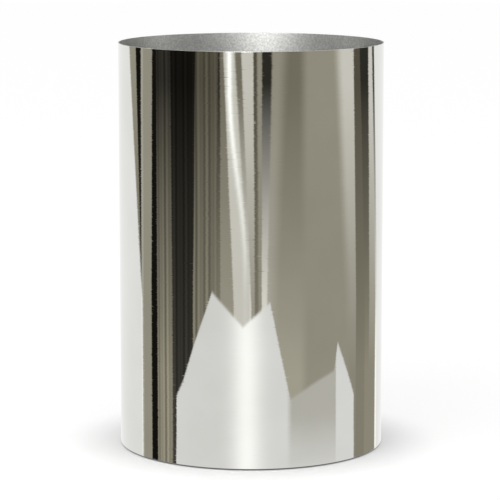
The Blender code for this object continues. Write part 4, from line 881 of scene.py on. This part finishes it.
def control_board():
    """The upright board behind the panel: four square switches, the display's frame with the unlit bars of
    its digits, and a row of small parts."""
    low, high = extent("control_board")
    centre = ((low + high) / 2)[[0, 2]]
    back = low[1]
    face = back + BOARD_THICKNESS
    board = slab(rectangle((high - low)[[0, 2]], (0, 0), 0.001), 0, BOARD_THICKNESS, 0.0001)
    at = (centre[0], back, centre[1])
    board = moved(board, at, "back")
    piece("control_board_masked", board, GREEN_UPRIGHT, "base", "control_board")
    frames, plungers = [], []
    for number in range(1, 5):
        x, _, z = middle(f"menu_button_{number}")
        frames.append(moved(block((0.005, 0.005), (0, 0), 0, 0.0016, 0.0002), (x, face, z), "back"))
        plunger = turned(rounded([(0, 0.001), (0.0014, 0.001), (0.0014, 0.0026), (0, 0.0026)], 0.0003, 3), 32)
        plungers.append(moved(plunger, (x, face, z), "back"))
    piece("switch_frames", together(frames), NICKEL, "base")
    piece("switch_plungers", together(plungers), GLOSS, "base")
    window = middle("display_window")
    depth = extent("display_window")[0][1] - 0.0003 - face
    module = slab(rectangle((0.023, 0.009), (0, 0), 0.0006), 0, depth, 0.0003)
    piece("display_module", moved(module, (window[0], face, window[2]), "back"), EPOXY, "base")
    bars = []
    for digit in range(4):
        x = (digit - 1.5) * 0.0054
        for dx, dz, flat in ((0, 0.0027, 1), (0, 0, 1), (0, -0.0027, 1), (-0.0015, 0.00135, 0),
                             (0.0015, 0.00135, 0), (-0.0015, -0.00135, 0), (0.0015, -0.00135, 0)):
            size = (0.0022, 0.0006) if flat else (0.0006, 0.0020)
            bars.append(moved(block(size, (0, 0), 0, 0.0001, 0.00003),
                              (window[0] + x + dx, face + depth, window[2] + dz), "back"))
    piece("display_bars", together(bars), SEGMENT, "base")
    part = block((0.0016, 0.0008), (0, 0), 0, 0.0006, 0.0001)
    small = [moved(part, (centre[0] + dx, back - 0.0006, centre[1] + dz), "back")
             for dx in (-0.012, -0.008, -0.004, 0.004, 0.008, 0.012) for dz in (-0.008, 0.008)]
    piece("control_small_parts", together(small), EPOXY, "base")


def panel_fittings():
    """The charge jack, with its flange rolled over and its pin in the bore, and the four rubber buttons."""
    x, _, z = middle("charge_jack")
    jack = [(0, -0.012), (0.0037, -0.012), (0.0037, 0.0003), (0.005, 0.0003), (0.005, 0.0015), (0.0028, 0.0015),
            (0.0028, -0.010), (0.001, -0.010), (0.001, -0.0003), (0, -0.0003)]
    shape = moved(turned(rounded(jack, 0.0003, 3), 64), (x, PANEL_FRONT, z), "back")
    piece("charge_jack_turned", shape, NICKEL, "base", "charge_jack")
    prints = []
    for number in range(1, 5):
        x, _, z = middle(f"menu_button_{number}")
        ring = [(0.00305, 0), (0.0033, 0), (0.0033, 0.00004), (0.00305, 0.00004)]
        prints.append(moved(turned(ring, 48, closed=True), (x, PANEL_FRONT, z), "back"))
    x, _, z = middle("display_window")
    for size, dx, dz in (((0.0262, 0.00025), 0, 0.006), ((0.0262, 0.00025), 0, -0.006),
                         ((0.00025, 0.01225), 0.013, 0), ((0.00025, 0.01225), -0.013, 0)):
        prints.append(moved(block(size, (0, 0), 0, 0.00004, 0.00001), (x + dx, PANEL_FRONT, z + dz), "back"))
    piece("panel_printed_lines", together(prints), printed_ink(), "base")
    button = [(0, -0.0055), (0.0012, -0.0055), (0.0012, -0.003), (0.0033, -0.003), (0.0033, -0.0023),
              (0.0025, -0.0023), (0.0025, 0.0010), (0.0021, 0.0015), (0.0008, 0.0013), (0, 0.0012)]
    for number in range(1, 5):
        node = f"menu_button_{number}"
        x, _, z = middle(node)
        shape = moved(turned(rounded(button, 0.0003, 3), 48), (x, PANEL_FRONT, z), "back")
        piece(node + "_moulded", shape, EPDM, f"button_{number}", node)


# ================================================================ the lamp head
HEAD_LOW, HEAD_HIGH = extent("lamp_housing")
HEAD_RADIUS = HEAD_HIGH[1]
RIM_INSIDE = HEAD_RADIUS - 0.005
PIVOT = middle("friction_washer_left")[2]
LENS_GAP = 0.0015
LENS_RADIUS = (RIM_INSIDE - 0.0045 - LENS_GAP) / 3 - LENS_GAP / 2
KNOB_LOBES, LOBE_DEPTH = 12, 0.0692
NUT_RIBS, RIB_DEPTH = 18, 0.06


def lens_places():
    """One lens in the middle and six round it."""
    return np.concatenate([np.zeros((1, 2)), polygon(6, 2 * LENS_RADIUS + LENS_GAP)])


def round_plate(radius, low, high, edge):
    """Profile of a round plate with rounded edges."""
    return rounded([(0, low), (radius, low), (radius, high), (0, high)], edge, 3)


def head_shell():
    """The cast housing with its bosses, the turned bezel, the gasket and the glass."""
    low, high, r = HEAD_LOW[2], HEAD_HIGH[2], HEAD_RADIUS
    ledge = PIVOT + 0.017
    shell = [(r - 0.0025, low), (r, low), (r, high), (RIM_INSIDE, high), (RIM_INSIDE, ledge), (r - 0.009, ledge),
             (r - 0.009, ledge - 0.003), (r - 0.0025, ledge - 0.003)]
    shapes = [turned(rounded(shell, 0.0004, 3, closed=True), 192, closed=True)]
    boss = [(0.004, r - 0.0015), (0.0128, r - 0.0015), (0.012, r + 0.0008), (0.012, r + 0.0035),
            (0.004, r + 0.0035)]
    boss = turned(rounded(boss, 0.0005, 3, closed=True), 64, closed=True)
    shapes += [moved(boss, (0, 0, PIVOT), "right"), moved(boss, (0, 0, PIVOT), "left")]
    piece("housing_casting", together(shapes), CASTING, "head", "lamp_housing")

    low, high = extent("bezel_ring")
    under, inside, skirt = HEAD_HIGH[2] + 0.0003, RIM_INSIDE - 0.0065, r + 0.0003
    ring = [(inside, under), (skirt, under), (skirt, low[2]), (skirt + 0.0017, low[2]),
            (skirt + 0.0017, high[2] - 0.0008), (skirt + 0.0009, high[2]), (inside + 0.0018, high[2]),
            (inside, high[2] - 0.0012)]
    shape = turned(rounded(ring, 0.0003, 3, closed=True), 192, closed=True)
    piece("bezel_turned", shape, TURNED, "head", "bezel_ring")

    low, high = extent("glass_gasket")
    seal = [(RIM_INSIDE - 0.0053, low[2]), (RIM_INSIDE - 0.0003, low[2]), (RIM_INSIDE - 0.0003, high[2]),
            (RIM_INSIDE - 0.0053, high[2])]
    shape = turned(rounded(seal, 0.0006, 4, closed=True), 192, closed=True)
    piece("gasket_moulded", shape, moulded_silicone(), "head", "glass_gasket")

    low, high = extent("front_glass")
    pane = turned(round_plate(RIM_INSIDE - 0.0003, low[2], high[2], 0.0006), 192)
    piece("glass_pane", pane, GLASS, "head", "front_glass")


def optics():
    """The lens array, whose cones swell from foot to rim as a parabola, and the LED board under it."""
    low, high = extent("lens_array")
    under = high[2] - 0.0025
    disc = round_plate(RIM_INSIDE - 0.0003, under, high[2], 0.0003)
    t = np.linspace(0, 1, 12)
    side = np.stack([0.006 + (LENS_RADIUS - 0.006) * np.sqrt(t), low[2] + (under - low[2]) * t], 1)
    cone = np.concatenate([[(0, low[2] + 0.0030), (0.0030, low[2] + 0.0024), (0.0040, low[2])], side,
                           [(LENS_RADIUS, under + 0.001), (0, under + 0.001)]])
    shapes = [turned(disc, 192)] + [moved(turned(cone, 72), (x, y, 0)) for x, y in lens_places()]
    piece("lens_array_moulded", together(shapes), ACRYLIC, "head", "lens_array", 50)

    low, high = extent("led_board")
    face = low[2] + BOARD_THICKNESS
    edge = HEAD_RADIUS - 0.0065
    board = turned(rounded([(0, low[2]), (edge, low[2]), (edge, face), (0, face)], 0.0002, 2), 128)
    piece("led_board_masked", board, WHITE_MASK, "head", "led_board")
    bases = [moved(block((0.006, 0.006), (0, 0), 0, 0.0007, 0.0001), (x, y, face)) for x, y in lens_places()]
    dome = [(0.0024, 0.0006), (0.0024, 0.0008), (0.0020, 0.0011), (0.0010, 0.00119), (0, 0.0012)]
    domes = [moved(turned(dome, 48), (x, y, face)) for x, y in lens_places()]
    piece("led_bases", together(bases), PLUG, "head")
    piece("led_domes", together(domes), led_phosphor(), "head")


def lobes(t):
    """A knob's grip at angle t: it shrinks by its lobes' depth times (1 - cos 12 t) / 2."""
    return 1 - LOBE_DEPTH * (1 - np.cos(KNOB_LOBES * t)) / 2


def ribbed(t):
    """A gland nut at angle t: it shrinks by its ribs' depth times (1 - cos 18 t) / 2."""
    return 1 - RIB_DEPTH * (1 - np.cos(NUT_RIBS * t)) / 2


def tilt_hardware():
    """The lead's gland, the friction washers and the lobed knobs."""
    low, high = extent("lead_gland")
    hexagonal = slab(polygon(6, 0.008), high[2] - 0.006, high[2], 0.0004)
    nut = [(0.0021, low[2] + 0.001), (0.0030, low[2]), (0.0044, low[2]), (0.0062, low[2] + 0.0028),
           (0.0064, low[2] + 0.0036), (0.0064, high[2] - 0.005), (0.0021, high[2] - 0.005)]
    share = [0, 0, 0.4, 1, 1, 1, 0]
    ribs = turned(nut, 144, True, ribbed, share)
    piece("gland_moulded", together([hexagonal, ribs]), NYLON, "head", "lead_gland")

    for side in ("left", "right"):
        inner = extent("friction_washer_right")[0][0]
        washer = [(0.004, inner), (0.011, inner), (0.011, inner + 0.0012), (0.004, inner + 0.0012)]
        shape = moved(turned(rounded(washer, 0.0002, 3, closed=True), 64, closed=True), (0, 0, PIVOT), side)
        node = "friction_washer_" + side
        piece(node + "_moulded", shape, EPDM, "head", node)

        start, end = extent("tilt_knob_right")[0][0], extent("tilt_knob_right")[1][0]
        collar = extent("tilt_arm_right")[1][0] + 0.0003
        shank = stud_profile(0.0037, start, collar)[:-2]
        rounds = [*shank, (0.0037, collar), (0.0091, collar), (0.0091, collar + 0.0014)]
        grip = [(0.0118, collar + 0.0015), (0.0128, collar + 0.0022), (0.013, collar + 0.0030),
                (0.013, end - 0.0018), (0.0127, end - 0.0008), (0.0118, end - 0.0001), (0.0108, end)]
        dish = [(0.0090, end), (0.0084, end - 0.0007), (0.0040, end - 0.0010), (0.0030, end - 0.0004),
                (0, end - 0.0004)]
        share = [0.0] * len(rounds) + [1.0] * len(grip) + [0.0] * len(dish)
        shape = turned(rounds + grip + dish, 240, outline=lobes, share=share)
        node = "tilt_knob_" + side
        piece(node + "_moulded", moved(shape, (0, 0, PIVOT), side), NYLON, "knob_" + side, node)


# ================================================================ leads
LEAD_RADIUS, LEAD_STRAIGHT = 0.002, 0.008


def straight(end, away):
    """Three points of a lead's straight stretch, from its end outwards."""
    return [np.array(end) + np.array(away) * LEAD_STRAIGHT * share for share in (0, 0.5, 1)]


def leads():
    """The three leads, along the same smooth curves as the frame's own."""
    plug = DRIVER_TOP + 0.005
    start = np.array((0.0343, 0.005, plug))
    pack = np.array((extent("battery_pack")[1][0] + 0.0003, 0.005, extent("battery_pack")[1][2] - 0.014))
    bow = pack[0] + 0.014
    routes = {"battery_lead": [*straight(pack, (1, 0, 0)), (bow, 0.005, pack[2] + 0.008), (bow, 0.005, plug - 0.010),
                               *straight(start, (1, 0, 0))[::-1]]}
    start = np.array((-0.0343, -0.015, plug))
    mouth = np.array((0, 0, extent("lead_gland")[0][2] - 0.0003))
    sag = mouth[2] - 0.016
    routes["lamp_lead"] = [
        *straight(start, (-1, 0, 0)), start + (-0.019, 0.002, 0.007), start + (-0.022, 0.006, (sag - plug) / 2),
        (start[0] - 0.016, 0.7 * start[1], sag - 0.006), (start[0] - 0.003, 0.4 * start[1], sag),
        (start[0] / 2, 0.1 * start[1], sag - 0.001), (start[0] / 5, 0, sag + 0.001),
        *straight(mouth, (0, 0, -1))[::-1]]
    start = np.array((0.016, 0.0303, plug))
    end = np.array((0.016, extent("control_board")[0][1] - 0.0003, 0.0295))
    routes["control_lead"] = [
        *straight(start, (0, 1, 0)), start + (0, 0.019, -0.009), (0.016, *(start + end)[1:] / 2),
        end + (0, -0.019, 0.009), *straight(end, (0, -1, 0))[::-1]]
    for node, route in routes.items():
        shape = tube(smooth_path(route, 0.002), LEAD_RADIUS, 24)
        if node == "lamp_lead":
            made = piece(node + "_jacket", shape, JACKET, None, node)
            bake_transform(made)
        else:
            piece(node + "_jacket", shape, JACKET, "base", node)


# ================================================================ stage, light and camera
SURROUND_RADIUS = 3.0
FINISHES = {"white": "#DCDCD8", "pale": "#C6C4BA", "grey": "#A3A094", "khaki": "#918D7E", "olive": "#716D5F",
            "brown": "#504C40", "dark": "#2C2A25", "black": "#14120E"}
# The mirror shows its studio: screens, drapes and stands in a ring round the can. Each row says where one
# starts, as a bearing in degrees from the front towards +X, near the mirror's rim and near its foot, how
# soft its side is, and its finish at those two heights.
STUDIO = [
    (-182, -182, 1, "white", "white"),  # left screen
    (-125, -111, 2, "khaki", "olive"),  # stand of the left screen
    (-115, -110, 1, "black", "dark"),
    (-108, -109, 1, "grey", "grey"),
    (-105, -106, 1, "khaki", "khaki"),
    (-93, -95, 1, "black", "black"),  # gap beside the drape
    (-88, -88, 1, "dark", "olive"),  # drape, paler where the table lights it
    (-72, -71, 1, "black", "dark"),
    (-48, -50, 1, "brown", "olive"),
    (-28, -30, 1, "dark", "olive"),
    (-26, -26, 1, "olive", "khaki"),
    (-22, -16, 1, "pale", "pale"),  # window
    (-12, -3, 2, "olive", "pale"),
    (-7, -1, 1, "pale", "grey"),
    (2, 3, 1, "brown", "olive"),
    (5, 6, 2, "khaki", "khaki"),
    (9, 9, 1, "dark", "pale"),  # doorway
    (17, 14, 2, "khaki", "grey"),  # right wall
    (27, 20, 12, "olive", "khaki"),
    (45, 46, 10, "khaki", "khaki"),
    (80, 90, 12, "pale", "grey"),
    (98, 102, 1, "brown", "olive"),  # stands of the right screen
    (107, 115, 1, "dark", "olive"),
    (120, 124, 2, "pale", "grey"),
    (128, 137, 2, "dark", "pale"),
    (132, 141, 2, "white", "white"),  # right screen
]
DRAPE = (-88, -28)  # bearings of the drape's two sides
FOLD_DEPTH = 0.45
STRIP_LIGHT = (-18, -5)  # bearing of a bright strip light, near the rim and near the foot
STRIP_WIDTH, STRIP_POWER = 2.0, 0.6
# The table's outline in the mirror has straight sides between its corners: bearing and height of each
TABLE_CORNERS = [(-180, -0.95), (-68, -0.95), (-67, -0.58), (-60, -0.55), (-33, -0.37), (-7, -0.44), (16, -0.39),
                 (34, -0.58), (76, -0.53), (80, -0.47), (100, -0.58), (102, -0.95), (180, -0.95)]
TABLE_LIT = (-4, 12)  # bearing and spread of the window's light on the table
TABLE_SHADED = (36, 78)  # bearings between which a screen shades the table
# Overhead glow: bearing, spread and power of each soft source
OVERHEAD = [(-11, 14, 8.2), (14, 28, 0.9), (-30, 25, 1.4), (92, 18, 1.4), (-96, 16, 1.1)]
OVERHEAD_BASE = 0.62
RIM_LINE, FOOT_LINE = 0.026, -0.325  # surround heights that the mirror shows near its rim and near its foot


def smooth_step(value):
    """0 below 0, 1 above 1, and 3v^2 - 2v^3 between."""
    value = np.clip(value, 0, 1)
    return value * value * (3 - 2 * value)


def surround_tones(bearing, height):
    """Light of the studio at a bearing and height: each thing's finish takes over from the last one's as a
    smooth step at its start. Start and finish go in a straight line from the rim's value to the foot's.
    The drape's folds are the product of two sines. The table covers what stands below its outline, and
    above the mirror's view the studio fades into overhead glow."""
    down = (RIM_LINE - height) / (RIM_LINE - FOOT_LINE)
    finish = {name: np.array(linear(colour)[:3]) for name, colour in FINISHES.items()}
    mirror = np.array(linear(MIRROR_TINT)[:3])
    total = np.zeros((*bearing.shape, 3))
    before = np.zeros(3)
    share = np.clip(down, 0, 1.6)[..., None]
    for at_rim, at_foot, soft, rim_finish, foot_finish in STUDIO:
        start = at_rim + (at_foot - at_rim) * np.clip(down, -0.4, 1.2)
        tone = finish[rim_finish] * (1 - share) + finish[foot_finish] * share
        total += smooth_step((bearing - start) / soft + 0.5)[..., None] * (tone - before)
        before = tone
    hung = smooth_step((bearing - DRAPE[0]) / 2) * smooth_step((DRAPE[1] - bearing) / 2)
    folds = np.sin(1.3 * bearing) * np.sin(0.31 * bearing + 0.6)
    total *= (1 + FOLD_DEPTH * folds * hung)[..., None]
    strip = STRIP_LIGHT[0] + (STRIP_LIGHT[1] - STRIP_LIGHT[0]) * smooth_step(down)
    bright = STRIP_POWER * np.exp(-(((bearing - strip) / STRIP_WIDTH) ** 2)) * np.clip(1 - 0.8 * down, 0.06, 1)
    total = np.maximum(total, 0.004) + bright[..., None] * np.array((0.93, 1.0, 1.0))
    edge = np.interp(bearing, *np.array(TABLE_CORNERS).T)
    lit = np.exp(-(((bearing - TABLE_LIT[0]) / TABLE_LIT[1]) ** 2))[..., None]
    shaded = smooth_step((bearing - TABLE_SHADED[0]) / 6 + 1) * smooth_step(TABLE_SHADED[1] - bearing + 0.5)
    shaded = (shaded * smooth_step((height + 0.75) / 0.15))[..., None]
    table = finish["white"] * (1 - shaded) * (0.9 + 0.45 * lit) + finish["pale"] * shaded * 0.75
    covered = smooth_step((edge - height) / 0.010 + 0.5)[..., None]
    total = total * (1 - covered) + table * covered
    total /= mirror
    rise = np.degrees(np.arctan2(height - 0.2, SURROUND_RADIUS))
    glow = sum(power * np.exp(-(((bearing - at) / wide) ** 2)) for at, wide, power in OVERHEAD) + OVERHEAD_BASE
    fade = smooth_step((rise - 1) / 5)[..., None]
    return total * (1 - fade) + glow[..., None] * np.array((1.0, 1.0, 0.99)) * fade


def glow_material(name):
    """A screen that shines its stored tone at the mirror."""
    made = bpy.data.materials.new(name)
    made.use_nodes = True
    tree = made.node_tree
    tree.nodes.remove(tree.nodes["Principled BSDF"])
    tone = add(tree, "Attribute", {}, attribute_name="tone")
    shine = add(tree, "Emission", {"Color": tone})
    tree.links.new(shine, tree.nodes["Material Output"].inputs["Surface"])
    return made


def only_in_mirrors(made):
    """The camera, soft light and shadows pass through a screen that is there for the mirror."""
    made.visible_camera = made.visible_diffuse = made.visible_transmission = made.visible_shadow = False


def make_surround():
    """A wall of screens round the can: points at (S sin b, -S cos b, h) for bearings b and heights h, then
    a dome over it, where the radius shrinks as the cosine of the rise."""
    bearings = np.concatenate([np.linspace(-180, -160, 10, endpoint=False), np.linspace(-160, 160, 560),
                               np.linspace(160, 180, 10, endpoint=False)[1:]])
    wall = np.concatenate([np.linspace(-1.4, -0.63, 16, endpoint=False), np.linspace(-0.63, -0.36, 92),
                           np.linspace(-0.36, 0.4, 34)[1:]])
    rise = np.linspace(0, math.pi / 2, 24)[1:]
    heights = np.concatenate([wall, 0.4 + SURROUND_RADIUS * np.sin(rise)])
    radius = np.concatenate([np.ones(len(wall)), np.maximum(np.cos(rise), 1e-3)]) * SURROUND_RADIUS
    b, h = np.meshgrid(bearings, heights)
    r = np.broadcast_to(radius[:, None], b.shape)
    b_rad = np.radians(b)
    points = np.stack([r * np.sin(b_rad), -r * np.cos(b_rad), h], -1)
    only_in_mirrors(stage_piece("studio_surround", grid(points), glow_material("surround_screens"),
                                surround_tones(b, h).reshape(-1, 3)))


def make_floor():
    """A plain white floor. To the camera part of its white is its own glow, with painted contact shade: ambient
    occlusion dims that glow where things stand close over it. The rest is lit and takes the lamp's shadow. The
    mirror sees the table instead."""
    made = bpy.data.materials.new("floor_matt_white")
    made.use_nodes = True
    tree = made.node_tree
    shader = tree.nodes["Principled BSDF"]
    shader.inputs["Base Color"].default_value = linear("#B4B4B4")
    shader.inputs["Roughness"].default_value = 0.9
    shader.inputs["Specular IOR Level"].default_value = 0.0
    path = tree.nodes.new("ShaderNodeLightPath")
    # painted contact shade: ambient occlusion within 5 cm darkens the floor's own glow under and beside things
    painted_contact_shade_ao = add(tree, "AmbientOcclusion", {"Distance": 0.05}, "AO", samples=8)
    seen = add(tree, "Math", {0: path.outputs["Is Camera Ray"], 1: path.outputs["Is Transmission Ray"]},
               operation="MAXIMUM")
    own = add(tree, "Math", {0: seen, 1: painted_contact_shade_ao}, operation="MULTIPLY")
    strength = add(tree, "Math", {0: own, 1: 0.60}, operation="MULTIPLY")
    tree.links.new(strength, shader.inputs["Emission Strength"])
    shader.inputs["Emission Color"].default_value = (1, 1, 1, 1)
    half = 6.0
    flat = np.array([(-half, -half, 0), (half, -half, 0), (half, half, 0), (-half, half, 0)])
    floor = stage_piece("floor", (flat, [[0, 1, 2, 3]]), made)
    floor.visible_glossy = False


def make_world():
    """White to the camera, and soft white light from all round on everything."""
    world = bpy.data.worlds.new("soft_white_studio")
    world.use_nodes = True
    tree = world.node_tree
    path = tree.nodes.new("ShaderNodeLightPath")
    strength = add(tree, "Mix", {0: path.outputs["Is Diffuse Ray"], 2: 1.0, 3: 0.85}, 0)
    background = tree.nodes["Background"]
    background.inputs["Color"].default_value = (1, 1, 1, 1)
    tree.links.new(strength, background.inputs["Strength"])
    world.cycles.sampling_method = "NONE"
    bpy.context.scene.world = world


def make_lamp():
    """One large soft lamp, high on the left and in front. The mirror shows the surround in its place."""
    light = bpy.data.lights.new("soft_lamp", "AREA")
    light.shape = "DISK"
    light.size = 1.6
    light.energy = 9.0
    lamp = bpy.data.objects.new("soft_lamp", light)
    lamp.location = (-0.9, -1.3, 2.1)
    lamp.rotation_euler = (Vector((0, 0, 0.15)) - lamp.location).to_track_quat("-Z", "Y").to_euler()
    lamp.visible_glossy = False
    bpy.context.scene.collection.objects.link(lamp)


def make_camera():
    """A long lens a little under two metres in front of the can, looking down on it by about eight degrees."""
    data = bpy.data.cameras.new("camera")
    data.lens = 180.8
    camera = bpy.data.objects.new("camera", data)
    camera.location = (0, -1.92, 0.450)
    aim = Vector((-0.0008, 0, 0.1502))
    camera.rotation_euler = (aim - camera.location).to_track_quat("-Z", "Y").to_euler()
    bpy.context.scene.collection.objects.link(camera)
    bpy.context.scene.camera = camera


bpy.context.scene.view_settings.view_transform = "Standard"
make_camera()
make_world()
make_lamp()
make_floor()
make_surround()
can_shell()
carried_over()
feet_and_magnets()
battery_pack()
driver_board()
control_board()
panel_fittings()
head_shell()
optics()
tilt_hardware()
leads()
